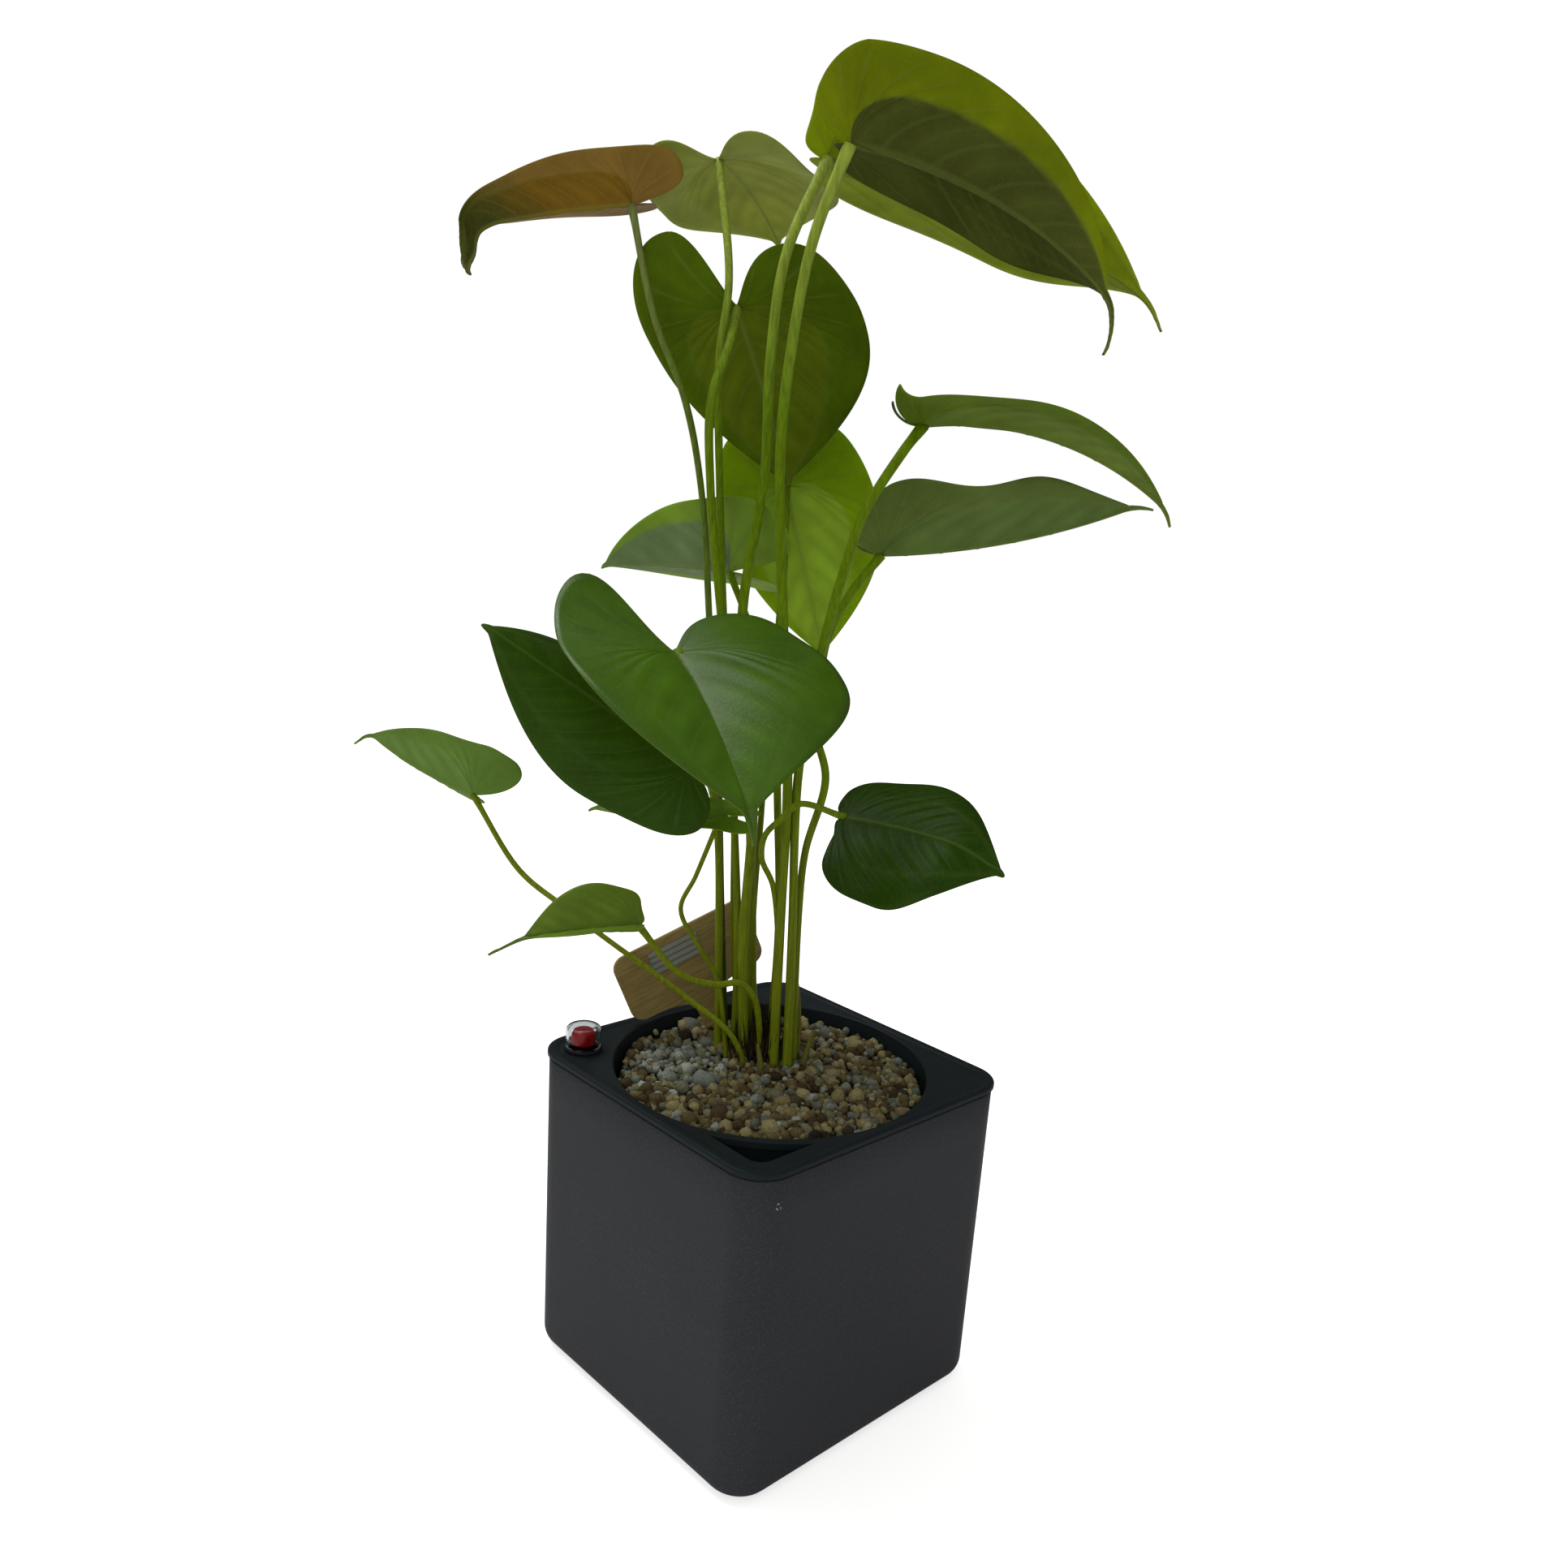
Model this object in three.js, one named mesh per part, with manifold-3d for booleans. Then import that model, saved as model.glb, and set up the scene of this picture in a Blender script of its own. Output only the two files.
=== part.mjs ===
// Anthurium moodeanum in a square self-watering planter.
// Millimetres, +Z up. The origin is the middle of the planter's base, and the planter's walls face
// along X and Y. The plant is described in a group turned by PLANT_TURN about Z, and lifted by
// PLANT_ZERO.

import * as THREE from 'three';
import * as BufferGeometryUtils from 'three/addons/utils/BufferGeometryUtils.js';
import Module from 'manifold-3d';

const wasm = await Module();
wasm.setup();

// Driving dimensions of the planter
const TOP_WIDTH = 138;
const BASE_WIDTH = 135;
const POT_HEIGHT = 134;
const CORNER_RADIUS = 15;
const BASE_EDGE_RADIUS = 8;
const WALL = 2.2;
const SEAT_GAP = 0.3;

// Driving dimensions of the liner that hangs in the planter
const FLANGE_THICKNESS = 3.2;
const TUB_RADIUS_TOP = 64;
const TUB_RADIUS_BOTTOM = 56;
const TUB_FLOOR = 24;
const TUB_WALL = 1.8;
const DRAIN_RADIUS = 3.5;
const DRAIN_CIRCLE = 36;
const DRAIN_COUNT = 8;
const FILLER_INSET = 9.5;

// Driving dimensions of the water level indicator, on the diagonal of one corner
const INDICATOR_REACH = 77;
const INDICATOR_RADIUS = 6.4;
const CAP_RADIUS = 7.2;
const CAP_HEIGHT = 8.5;

// Driving dimensions of the growing medium and the plant
const SOIL_TOP = 122.6;
const PLANT_ZERO = 4;
const GRANULE_COUNT = 92;
const GRANULE_RADIUS = 5.8;
const PLANT_TURN = Math.PI / 4;
const CROWN = { x: -6, y: 21, z: 113, halfX: 23, halfY: 17, halfZ: 11 };
const PETIOLE_FOOT = 112;
const BLADE_THICKNESS = 1.0;
const STALK_JOINT = 4;
const CLEARANCE = 0.35;

// Driving dimensions of the plant label
const TAG = { width: 64, height: 32, corner: 6, thickness: 1.6, spikeWidth: 10, spikeLength: 52 };
const LABEL = { width: 23, height: 11, thickness: 0.4, fromLeft: 16, fromTop: 4 };

const rad = THREE.MathUtils.degToRad;

// Colours of the materials
const COLOURS = {
  shell: 0x3a3b3d,
  liner: 0x1e2021,
  clear: 0xc9cfd0,
  float: 0x8f0d12,
  medium: 0x6f6250,
  crown: 0x4a3a22,
  wood: 0x8a7148,
  paper: 0xb9bbb8,
  stalk: 0x5c7a0e,
  leaf: 0x35590e,
  youngLeaf: 0x6d4a1e,
  sheath: 0x7d8a2a,
};

function namedMesh(name, geometry, color, roughness, metalness = 0) {
  const mesh = new THREE.Mesh(geometry, new THREE.MeshStandardMaterial({ color, roughness, metalness }));
  mesh.name = name;
  return mesh;
}

// Solids for cutting and joining

function toSolid(geometry) {
  const bare = geometry.clone();
  bare.deleteAttribute('normal');
  bare.deleteAttribute('uv');
  const merged = BufferGeometryUtils.mergeVertices(bare, 1e-4);
  const vertProperties = new Float32Array(merged.attributes.position.array);
  const triVerts = new Uint32Array(merged.index.array);
  return new wasm.Manifold(new wasm.Mesh({ numProp: 3, vertProperties, triVerts }));
}

function toGeometry(solid) {
  const data = solid.getMesh();
  const geometry = new THREE.BufferGeometry();
  geometry.setAttribute('position', new THREE.BufferAttribute(data.vertProperties, 3));
  geometry.setIndex(new THREE.BufferAttribute(data.triVerts, 1));
  geometry.computeVertexNormals();
  return geometry;
}

function bufferGeometry(points, triangles) {
  const geometry = new THREE.BufferGeometry();
  geometry.setAttribute('position', new THREE.Float32BufferAttribute(points.flatMap((p) => [p.x, p.y, p.z]), 3));
  geometry.setIndex(triangles);
  geometry.computeVertexNormals();
  return geometry;
}

// A closed skin over a stack of rings with equal counts of points, each ring anticlockwise from above
function skinRings(rings) {
  const count = rings[0].length;
  const points = rings.flat();
  const triangles = [];
  for (let r = 0; r < rings.length - 1; r += 1) {
    for (let i = 0; i < count; i += 1) {
      const a = r * count + i;
      const b = r * count + ((i + 1) % count);
      triangles.push(a, b, b + count, a, b + count, a + count);
    }
  }
  for (const [ring, flip] of [[0, true], [rings.length - 1, false]]) {
    const centre = new THREE.Vector3();
    rings[ring].forEach((p) => centre.addScaledVector(p, 1 / count));
    points.push(centre);
    for (let i = 0; i < count; i += 1) {
      const a = ring * count + i;
      const b = ring * count + ((i + 1) % count);
      triangles.push(...(flip ? [points.length - 1, b, a] : [points.length - 1, a, b]));
    }
  }
  return bufferGeometry(points, triangles);
}

function roundedSquareRing(halfWidth, cornerRadius, z, steps = 5) {
  const ring = [];
  for (let corner = 0; corner < 4; corner += 1) {
    for (let i = 0; i <= steps; i += 1) {
      const angle = (corner + i / steps) * (Math.PI / 2);
      const turn = corner * (Math.PI / 2) + Math.PI / 4;
      const reach = (halfWidth - cornerRadius) * Math.SQRT2;
      ring.push(new THREE.Vector3(
        reach * Math.cos(turn) + cornerRadius * Math.cos(angle),
        reach * Math.sin(turn) + cornerRadius * Math.sin(angle),
        z,
      ));
    }
  }
  return ring;
}

// A body of revolution about Z from a closed profile of [radius, z] pairs
function revolve(profile, segments) {
  const points = profile.map(([radius, z]) => new THREE.Vector2(radius, z));
  const geometry = new THREE.LatheGeometry(points, segments);
  geometry.rotateX(Math.PI / 2);
  return geometry;
}

// A closed tube along a curve, with a radius for each share of its length
function taperedTube(curve, radiusAt, sides, steps, from = 0, to = 1) {
  const rings = [];
  const start = curve.getTangentAt(from);
  const across = new THREE.Vector3(1, 0, 0);
  let normal = across.addScaledVector(start, -across.dot(start)).normalize();
  for (let s = 0; s <= steps; s += 1) {
    const u = from + ((to - from) * s) / steps;
    const tangent = curve.getTangentAt(u);
    normal = normal.clone().addScaledVector(tangent, -normal.dot(tangent)).normalize();
    const binormal = new THREE.Vector3().crossVectors(tangent, normal);
    const centre = curve.getPointAt(u);
    const radius = radiusAt(u);
    rings.push(Array.from({ length: sides }, (_, i) => {
      const angle = (i / sides) * 2 * Math.PI;
      return centre.clone()
        .addScaledVector(normal, radius * Math.cos(angle))
        .addScaledVector(binormal, radius * Math.sin(angle));
    }));
  }
  return skinRings(rings);
}

// Planter shell: an open box with rounded corners and a rounded foot
function outerPlanter() {
  const top = TOP_WIDTH / 2 - 0.6;
  const base = BASE_WIDTH / 2;
  const rim = POT_HEIGHT - FLANGE_THICKNESS - SEAT_GAP;
  const rings = [roundedSquareRing(base - BASE_EDGE_RADIUS, CORNER_RADIUS - BASE_EDGE_RADIUS, 0)];
  for (let i = 1; i <= 3; i += 1) {
    const angle = (i / 3) * (Math.PI / 2);
    const inset = BASE_EDGE_RADIUS * (1 - Math.sin(angle));
    const rise = BASE_EDGE_RADIUS * (1 - Math.cos(angle));
    rings.push(roundedSquareRing(base - inset, CORNER_RADIUS - inset, rise));
  }
  rings.push(roundedSquareRing(top, CORNER_RADIUS, rim));
  rings.push(roundedSquareRing(top - WALL, CORNER_RADIUS - WALL, rim));
  rings.push(roundedSquareRing(base - WALL, CORNER_RADIUS - WALL, BASE_EDGE_RADIUS));
  rings.push(roundedSquareRing(base - BASE_EDGE_RADIUS, CORNER_RADIUS - BASE_EDGE_RADIUS, WALL + 0.4));
  return namedMesh('outer_planter', skinRings(rings), COLOURS.shell, 0.55);
}

// The filler opening: the corner of the flange between the round tub and the straight sides
function fillerCutter() {
  const edge = TOP_WIDTH / 2 - FILLER_INSET;
  const bore = TUB_RADIUS_TOP + TUB_WALL + 2;
  const along = Math.sqrt(bore * bore - edge * edge);
  const rounding = 6;
  const shape = new THREE.Shape();
  shape.moveTo(edge, -along);
  shape.absarc(0, 0, bore, -Math.atan2(along, edge), -Math.atan2(edge, along), true);
  shape.lineTo(edge - rounding, -edge);
  shape.quadraticCurveTo(edge, -edge, edge, -edge + rounding);
  shape.closePath();
  const geometry = new THREE.ExtrudeGeometry(shape, { depth: 12, bevelEnabled: false, curveSegments: 8 });
  geometry.translate(0, 0, POT_HEIGHT - 8);
  return toSolid(geometry);
}

const INDICATOR_XY = -INDICATOR_REACH / Math.SQRT2;

function uprightCylinder(radius, low, high, x, y, sides) {
  const geometry = new THREE.CylinderGeometry(radius, radius, high - low, sides);
  geometry.rotateX(Math.PI / 2);
  geometry.translate(x, y, (low + high) / 2);
  return geometry;
}

// Liner: a square flange with a raised rounded rim, and the round tub that hangs from it
function liner() {
  const half = TOP_WIDTH / 2;
  const low = POT_HEIGHT - FLANGE_THICKNESS;
  const flange = toSolid(skinRings([
    roundedSquareRing(half - 1, CORNER_RADIUS - 1, low),
    roundedSquareRing(half, CORNER_RADIUS, low + 0.9),
    roundedSquareRing(half, CORNER_RADIUS, POT_HEIGHT - 1),
    roundedSquareRing(half - 1, CORNER_RADIUS - 1, POT_HEIGHT),
    roundedSquareRing(half - 3, CORNER_RADIUS - 3, POT_HEIGHT),
    roundedSquareRing(half - 4.4, CORNER_RADIUS - 4.4, POT_HEIGHT - 0.8),
  ]));
  const bore = toSolid(uprightCylinder(TUB_RADIUS_TOP, low - 2, POT_HEIGHT + 2, 0, 0, 48));
  const tub = toSolid(revolve([
    [0, TUB_FLOOR - TUB_WALL],
    [TUB_RADIUS_BOTTOM + TUB_WALL, TUB_FLOOR - TUB_WALL],
    [TUB_RADIUS_TOP + TUB_WALL, POT_HEIGHT - 1.4],
    [TUB_RADIUS_TOP, POT_HEIGHT - 1.4],
    [TUB_RADIUS_BOTTOM, TUB_FLOOR],
    [0, TUB_FLOOR],
  ], 48));
  let body = flange.subtract(bore).add(tub).subtract(fillerCutter());
  body = body.subtract(toSolid(uprightCylinder(
    INDICATOR_RADIUS + SEAT_GAP, low - 4, POT_HEIGHT + 4, INDICATOR_XY, INDICATOR_XY, 20,
  )));
  for (let i = 0; i < DRAIN_COUNT; i += 1) {
    const angle = (i / DRAIN_COUNT) * 2 * Math.PI;
    body = body.subtract(toSolid(uprightCylinder(
      DRAIN_RADIUS, TUB_FLOOR - 6, TUB_FLOOR + 4, DRAIN_CIRCLE * Math.cos(angle), DRAIN_CIRCLE * Math.sin(angle), 10,
    )));
  }
  return namedMesh('liner', toGeometry(body), COLOURS.liner, 0.42);
}

// Water level indicator: a guide tube with a collar, a clear cap, and the float with its stem
function indicator() {
  const seat = POT_HEIGHT - 0.8 + SEAT_GAP;
  const collarTop = seat + 1.2;
  const foot = BASE_EDGE_RADIUS + 1;
  const capTop = collarTop + SEAT_GAP + CAP_HEIGHT;
  const tube = revolve([
    [2.2, foot],
    [INDICATOR_RADIUS, foot],
    [INDICATOR_RADIUS, seat],
    [CAP_RADIUS + 0.6, seat],
    [CAP_RADIUS + 0.6, collarTop],
    [5.2, collarTop],
    [5.2, foot + 1.4],
    [2.2, foot + 1.4],
    [2.2, foot],
  ], 16);
  const cap = revolve([
    [CAP_RADIUS - 1, collarTop + SEAT_GAP],
    [CAP_RADIUS, collarTop + SEAT_GAP],
    [CAP_RADIUS, capTop - 1.5],
    [CAP_RADIUS - 1.5, capTop],
    [0, capTop],
    [0, capTop - 1],
    [CAP_RADIUS - 2, capTop - 1],
    [CAP_RADIUS - 1, capTop - 2],
    [CAP_RADIUS - 1, collarTop + SEAT_GAP],
  ], 16);
  const floatFoot = foot + 1.4 + SEAT_GAP;
  const float = revolve([
    [0, floatFoot],
    [4.4, floatFoot],
    [4.4, floatFoot + 32],
    [1.2, floatFoot + 34],
    [1.2, collarTop - 1],
    [4.8, collarTop + 1.5],
    [4.8, capTop - 3.2],
    [3.6, capTop - 2.2],
    [0, capTop - 2.2],
  ], 16);
  const group = new THREE.Group();
  group.position.set(INDICATOR_XY, INDICATOR_XY, 0);
  group.add(namedMesh('indicator_tube', tube, COLOURS.liner, 0.45));
  group.add(namedMesh('indicator_cap', cap, COLOURS.clear, 0.15));
  group.add(namedMesh('indicator_float', float, COLOURS.float, 0.35));
  return group;
}

// Leaf outline: half of a heart, x along the midrib in shares of its length and v in half widths.
// The lobe reaches back behind the stalk, the belly is where the blade is widest, and the drip tip
// is the thin tail past the end of the blade.
function halfOutline(lobe, belly, drip) {
  const cubic = (points, count) => new THREE.CubicBezierCurve(
    ...points.map(([x, v]) => new THREE.Vector2(x, v)),
  ).getPoints(count);
  const back = cubic([[-0.02, 0], [-0.1, 0.1], [-lobe, 0.2], [-lobe, 0.5]], 3);
  const flank = cubic([[-lobe, 0.5], [-lobe, 0.82], [belly - 0.26, 1], [belly, 1]], 3);
  const taper = 0.44 * (0.96 - belly);
  const front = cubic([[belly, 1], [belly + taper, 1], [0.8, 0.46], [0.96, 0.06]], 5);
  const tail = [];
  if (drip > 0) {
    tail.push(new THREE.Vector2(1, 0.035), new THREE.Vector2(1 + drip / 2, 0.02));
  }
  tail.push(new THREE.Vector2(1 + drip, 0));
  return [...back, ...flank.slice(1), ...front.slice(1), ...tail];
}

// The midrib seen from the side, for a midrib one unit long: for x from behind the stalk to the end
// of the drip tip it gives the place and the angle. Angles in radians, down is negative.
function midribLine({ droop, hook, drip, dripDrop, lift }) {
  const angleAt = (x) => {
    if (x <= 0) return lift * x;
    const hooked = THREE.MathUtils.clamp((x - 0.6) / 0.16, 0, 1);
    const dripped = THREE.MathUtils.clamp((x - 0.93) / 0.12, 0, 1);
    return -droop * x - hook * hooked * hooked - dripDrop * dripped;
  };
  return (x) => {
    const steps = 32;
    const place = { x: 0, z: 0, angle: angleAt(x) };
    for (let i = 0; i < steps; i += 1) {
      const angle = angleAt(((i + 0.5) / steps) * x);
      place.x += (Math.cos(angle) * x) / steps;
      place.z += (Math.sin(angle) * x) / steps;
    }
    return place;
  };
}

// A half blade seen from its tip: an arc that leaves the midrib at the fold angle and bends by curl
function acrossBlade(v, halfWidth, fold, curl) {
  const bend = Math.abs(curl) < 1e-3 ? 1e-3 : curl;
  const radius = halfWidth / bend;
  const angle = fold + (bend * v) / halfWidth;
  return { y: radius * (Math.sin(angle) - Math.sin(fold)), z: radius * (Math.cos(fold) - Math.cos(angle)) };
}

// The blade's frame: x runs from the stalk to the tip, and z is the way the upper side faces
function bladeFrame(leaf, tipPlace) {
  const stalk = new THREE.Vector3(...leaf.at);
  const along = new THREE.Vector3(...leaf.tip).sub(stalk);
  const chord = Math.hypot(tipPlace.x, tipPlace.z);
  const length = along.length() / chord;
  along.normalize();
  const up = new THREE.Vector3(...leaf.face);
  up.addScaledVector(along, -up.dot(along)).normalize();
  const left = new THREE.Vector3().crossVectors(up, along);
  const cos = tipPlace.x / chord;
  const sin = tipPlace.z / chord;
  const xAxis = along.clone().multiplyScalar(cos).addScaledVector(up, -sin);
  const zAxis = along.clone().multiplyScalar(sin).addScaledVector(up, cos);
  return { stalk, length, xAxis, left, zAxis };
}

// How far out the rings of a blade lie: a long blade needs one more than a short one
const LONG_BLADE = 70;
const BLADE_RINGS = [0.36, 0.72, 1];
const SHORT_BLADE_RINGS = [0.55, 1];

// The points of a blade's middle surface: the stalk point, then rings that follow the outline. Each
// comes with the way up that its two faces are spread along, square to the midrib beside it.
function bladePoints(leaf) {
  const { width, lobe, belly, lift, curl, fold, droop, hook = 0, drip = 0, dripDrop = 30, wave = 0 } = leaf;
  const bends = { droop: rad(droop), hook: rad(hook), drip, dripDrop: rad(dripDrop) };
  const frame = bladeFrame(leaf, midribLine({ ...bends, lift: 0 })(1));
  const halves = [0, 1].map((i) => ({
    side: i === 0 ? 1 : -1,
    outline: halfOutline(lobe[i], belly[i], drip),
    midrib: midribLine({ ...bends, lift: rad(lift[i]) }),
    halfWidth: width[i] / 2,
    curl: rad(curl[i]),
  }));
  const place = (half, point, share) => {
    const x = point.x * share;
    const v = point.y * share * half.halfWidth;
    const across = acrossBlade(v, half.halfWidth, rad(fold), half.curl);
    const phase = half.side > 0 ? 0 : 1.7;
    const ripple = wave * Math.sin(x * 3 * Math.PI + phase) * (point.y * share) ** 2;
    const rib = half.midrib(x);
    const z = across.z + ripple;
    const up = frame.zAxis.clone().multiplyScalar(Math.cos(rib.angle))
      .addScaledVector(frame.xAxis, -Math.sin(rib.angle));
    const spot = frame.stalk.clone()
      .addScaledVector(frame.xAxis, rib.x * frame.length)
      .addScaledVector(frame.zAxis, rib.z * frame.length)
      .addScaledVector(frame.left, across.y * half.side)
      .addScaledVector(up, z);
    return { spot, up };
  };
  const shares = frame.length > LONG_BLADE ? BLADE_RINGS : SHORT_BLADE_RINGS;
  const rings = shares.map((share) => {
    const left = halves[0].outline.map((point) => place(halves[0], point, share));
    const right = halves[1].outline.map((point) => place(halves[1], point, share));
    return [...right, ...left.slice(1, -1).reverse()];
  });
  return { centre: { spot: frame.stalk, up: frame.zAxis }, rings };
}

// A closed thin blade: the same net of triangles above and below the middle surface, and a rim
function bladeSolid(leaf) {
  const { centre, rings } = bladePoints(leaf);
  const count = rings[0].length;
  const middle = [centre, ...rings.flat()];
  const net = [];
  for (let i = 0; i < count; i += 1) {
    const next = (i + 1) % count;
    net.push([0, 1 + i, 1 + next]);
    for (let r = 0; r < rings.length - 1; r += 1) {
      const a = 1 + r * count + i;
      const b = 1 + r * count + next;
      net.push([a, a + count, b + count], [a, b + count, b]);
    }
  }
  const top = middle.map(({ spot, up }) => spot.clone().addScaledVector(up, BLADE_THICKNESS / 2));
  const bottom = middle.map(({ spot, up }) => spot.clone().addScaledVector(up, -BLADE_THICKNESS / 2));
  const shift = middle.length;
  const triangles = net.flatMap(([a, b, c]) => [a, b, c, a + shift, c + shift, b + shift]);
  const outer = 1 + (rings.length - 1) * count;
  for (let i = 0; i < count; i += 1) {
    const a = outer + i;
    const b = outer + ((i + 1) % count);
    triangles.push(a, a + shift, b, b, a + shift, b + shift);
  }
  return toSolid(bufferGeometry([...top, ...bottom], triangles));
}

// Leaves. at: where the stalk meets the blade; tip: the blade's end before the drip tip; face: the
// way the upper side looks; pairs are the left and right half seen from above with the tip ahead.
// stalk: the petiole's way up from the crown, before it reaches the blade.
const LEAVES = {
  topRight: {
    at: [6, -30, 470], tip: [97, -25, 427], face: [0.27, 0.79, 0.55], width: [39, 65], lobe: [-0.02, 0.17],
    belly: [0.54, 0.2], lift: [0, 250], fold: 39, curl: [-60, -24], droop: 84, drip: 0.3, dripDrop: 30,
    stalk: [[1, 13], [0, 12, 181], [-1, 6, 247], [-6, -4, 304], [-11, -16, 370], [-9, -24, 407], [-4, -29, 440]],
    thick: 1.9,
  },
  topRightBehind: {
    at: [-2, 12, 475], tip: [119, 17, 434], face: [0.19, 0.75, 0.63], width: [86, 68], lobe: [-0.04, 0.06],
    belly: [0.55, 0.22], lift: [0, 0], fold: 42, curl: [-10, -20], droop: 44, drip: 0.12, dripDrop: 40,
    stalk: [[-9, 26], [-12, 26, 175], [-17, 22, 242], [-23, 12, 309], [-17, 0, 363], [-17, -9, 403], [-14, -9, 437]],
    thick: 1.9,
  },
  topBack: {
    at: [-44, 40, 479], tip: [-23, 109, 462], face: [-0.2, 0, 1], width: [66, 86], lobe: [0.28, 0.28],
    belly: [0.26, 0.26], lift: [150, 100], fold: -5, curl: [-30, -30], droop: 30,
    stalk: [[-13, 32], [-20, 35, 172], [-24, 36, 239], [-31, 31, 299], [-35, 17, 358], [-37, 9, 405], [-35, 10, 430]],
    thick: 1.5,
  },
  topLeftYoung: {
    at: [-72, 10, 455], tip: [-124, -15, 424], face: [-0.44, 0.5, 0.75], width: [40, 50], lobe: [0.26, 0.12],
    belly: [0.05, 0.05], lift: [0, 0], fold: 50, curl: [-10, -20], droop: 15, hook: 62,
    stalk: [[-20, 32], [-25, 33, 172], [-30, 30, 240], [-36, 25, 297], [-42, 15, 357], [-49, 9, 388], [-61, 3, 416]],
    thick: 1.3, young: true,
  },
  middleBack: {
    at: [-32, 20, 423], tip: [-10, 60, 360], face: [0, 0.7, 0.6], width: [74, 94], lobe: [0.42, 0.28],
    belly: [-0.02, 0.22], lift: [70, 30], fold: 0, curl: [-15, -15], droop: 20,
    stalk: [[-16, 25], [-18, 26, 175], [-24, 22, 242], [-30, 14, 298], [-37, 1, 357], [-38, -3, 388], [-33, 4, 409]],
    thick: 1.6,
  },
  lowerBack: {
    at: [-12, 85, 360], tip: [9, 92, 286], face: [0, 0.8, 0.3], width: [60, 76], lobe: [0.34, 0.3],
    belly: [0.14, 0.24], lift: [0, 0], fold: 5, curl: [-20, -20], droop: 20,
    stalk: [[-2, 27], [-1, 28, 176], [-6, 36, 241], [-10, 55, 292], [-10, 69, 324], [-11, 80, 346]],
    thick: 1.6,
  },
  leftBack: {
    at: [-31, 40, 324], tip: [-93, 96, 319], face: [0, 0.77, 0.64], width: [66, 61], lobe: [0.5, 0.1],
    belly: [-0.2, 0.2], lift: [0, 0], fold: 30, curl: [-10, -10], droop: 10,
    stalk: [[-6, 33], [-12, 36, 172], [-12, 38, 240], [-17, 38, 290]],
    thick: 1.3,
  },
  rightUpper: {
    at: [39, -15, 383], tip: [127, -20, 358], face: [0.29, 0.09, 0.92], width: [60, 62], lobe: [0.2, 0.2],
    belly: [0.34, 0.34], lift: [450, 500], fold: 14, curl: [-10, -10], droop: 50, drip: 0.05,
    stalk: [[7, 11], [5, 13, 181], [3, 8, 247], [6, 1, 280], [10, -12, 307], [15, -24, 332], [20, -28, 351], [32, -24, 373]],
    thick: 1.8,
  },
  rightLower: {
    at: [29, 12, 336], tip: [128, 30, 360], face: [-0.2, 0.33, 0.9], width: [62, 77], lobe: [0.16, 0.12],
    belly: [0.26, 0.26], lift: [400, 100], fold: 23, curl: [0, 0], droop: -20, drip: 0.06, wave: 3,
    stalk: [[9, 18], [7, 19, 190], [8, 18, 215], [14, 16, 246], [8, 13, 268], [9, 13, 289], [11, 13, 304], [18, 12, 320]],
    thick: 1.6,
  },
  front: {
    at: [-41, -50, 300], tip: [-9, -110, 258], face: [0.2, -0.6, 0.7], width: [100, 86], lobe: [0.28, 0.57],
    belly: [0.4, 0.12], lift: [-20, 40], fold: 18, curl: [-30, -10], droop: 30, drip: 0.1,
    stalk: [[-11, 19], [-15, 18, 175], [-14, 8, 230], [-17, -8, 262], [-28, -29, 285]],
    thick: 2.1,
  },
  frontLeft: {
    at: [-36, -30, 257], tip: [-110, -45, 305], face: [0.42, -0.67, 0.61], width: [62, 72], lobe: [0.18, 0.18],
    belly: [0.3, 0.3], lift: [0, 0], fold: -18, curl: [-30, -30], droop: 0,
    stalk: [[-23, 25], [-26, 28, 173], [-28, 25, 211], [-30, 17, 233], [-33, 3, 247], [-36, -15, 251]],
    thick: 1.6,
  },
  farLeftSmall: {
    at: [-135, 40, 223], tip: [-187, 60, 241], face: [0.2, 0.75, 0.62], width: [50, 38], lobe: [0.4, -0.02],
    belly: [0.04, 0.2], lift: [100, 0], fold: 25, curl: [0, 0], droop: -20, drip: 0.12, dripDrop: 90,
    stalk: [[-8, 13], [-17, 13, 134], [-36, 17, 147], [-54, 20, 158], [-72, 22, 169], [-92, 28, 180], [-113, 34, 193]],
    thick: 1.2,
  },
  lowerLeftSmall: {
    at: [-54, -20, 191], tip: [-96, -35, 187], face: [0.1, -0.44, 0.9], width: [30, 34], lobe: [0.0, 0.04],
    belly: [0.26, 0.4], lift: [0, 0], fold: 38, curl: [0, 0], droop: 10, drip: 0.3, dripDrop: 20,
    stalk: [[-5, 19], [-6, 14, 139], [-9, 9, 154], [-15, 5, 161], [-24, 1, 161], [-38, -6, 167]],
    thick: 1.3,
  },
  rightDark: {
    at: [22, -35, 243], tip: [76, -70, 235], face: [0, -0.7, 0.7], width: [46, 66], lobe: [0.12, -0.04],
    belly: [0.4, 0.5], lift: [0, 0], fold: 5, curl: [-20, -20], droop: 20, hook: 25,
    stalk: [[2, 20], [0, 18, 168], [-4, 11, 201], [-9, 2, 215], [-8, -3, 226], [-2, -7, 234], [4, -11, 241]],
    thick: 1.2,
  },
  leftHidden: {
    at: [-25, -12, 235], tip: [-77, -8, 232], face: [0, -0.2, 0.9], width: [26, 30], lobe: [0.28, 0.28],
    belly: [0.26, 0.26], lift: [0, 0], fold: 5, curl: [-20, -20], droop: 20,
    stalk: [[-18, 18], [-25, 18, 157], [-32, 15, 170], [-41, 11, 188], [-35, 4, 205]],
    thick: 1.0,
  },
};

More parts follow.
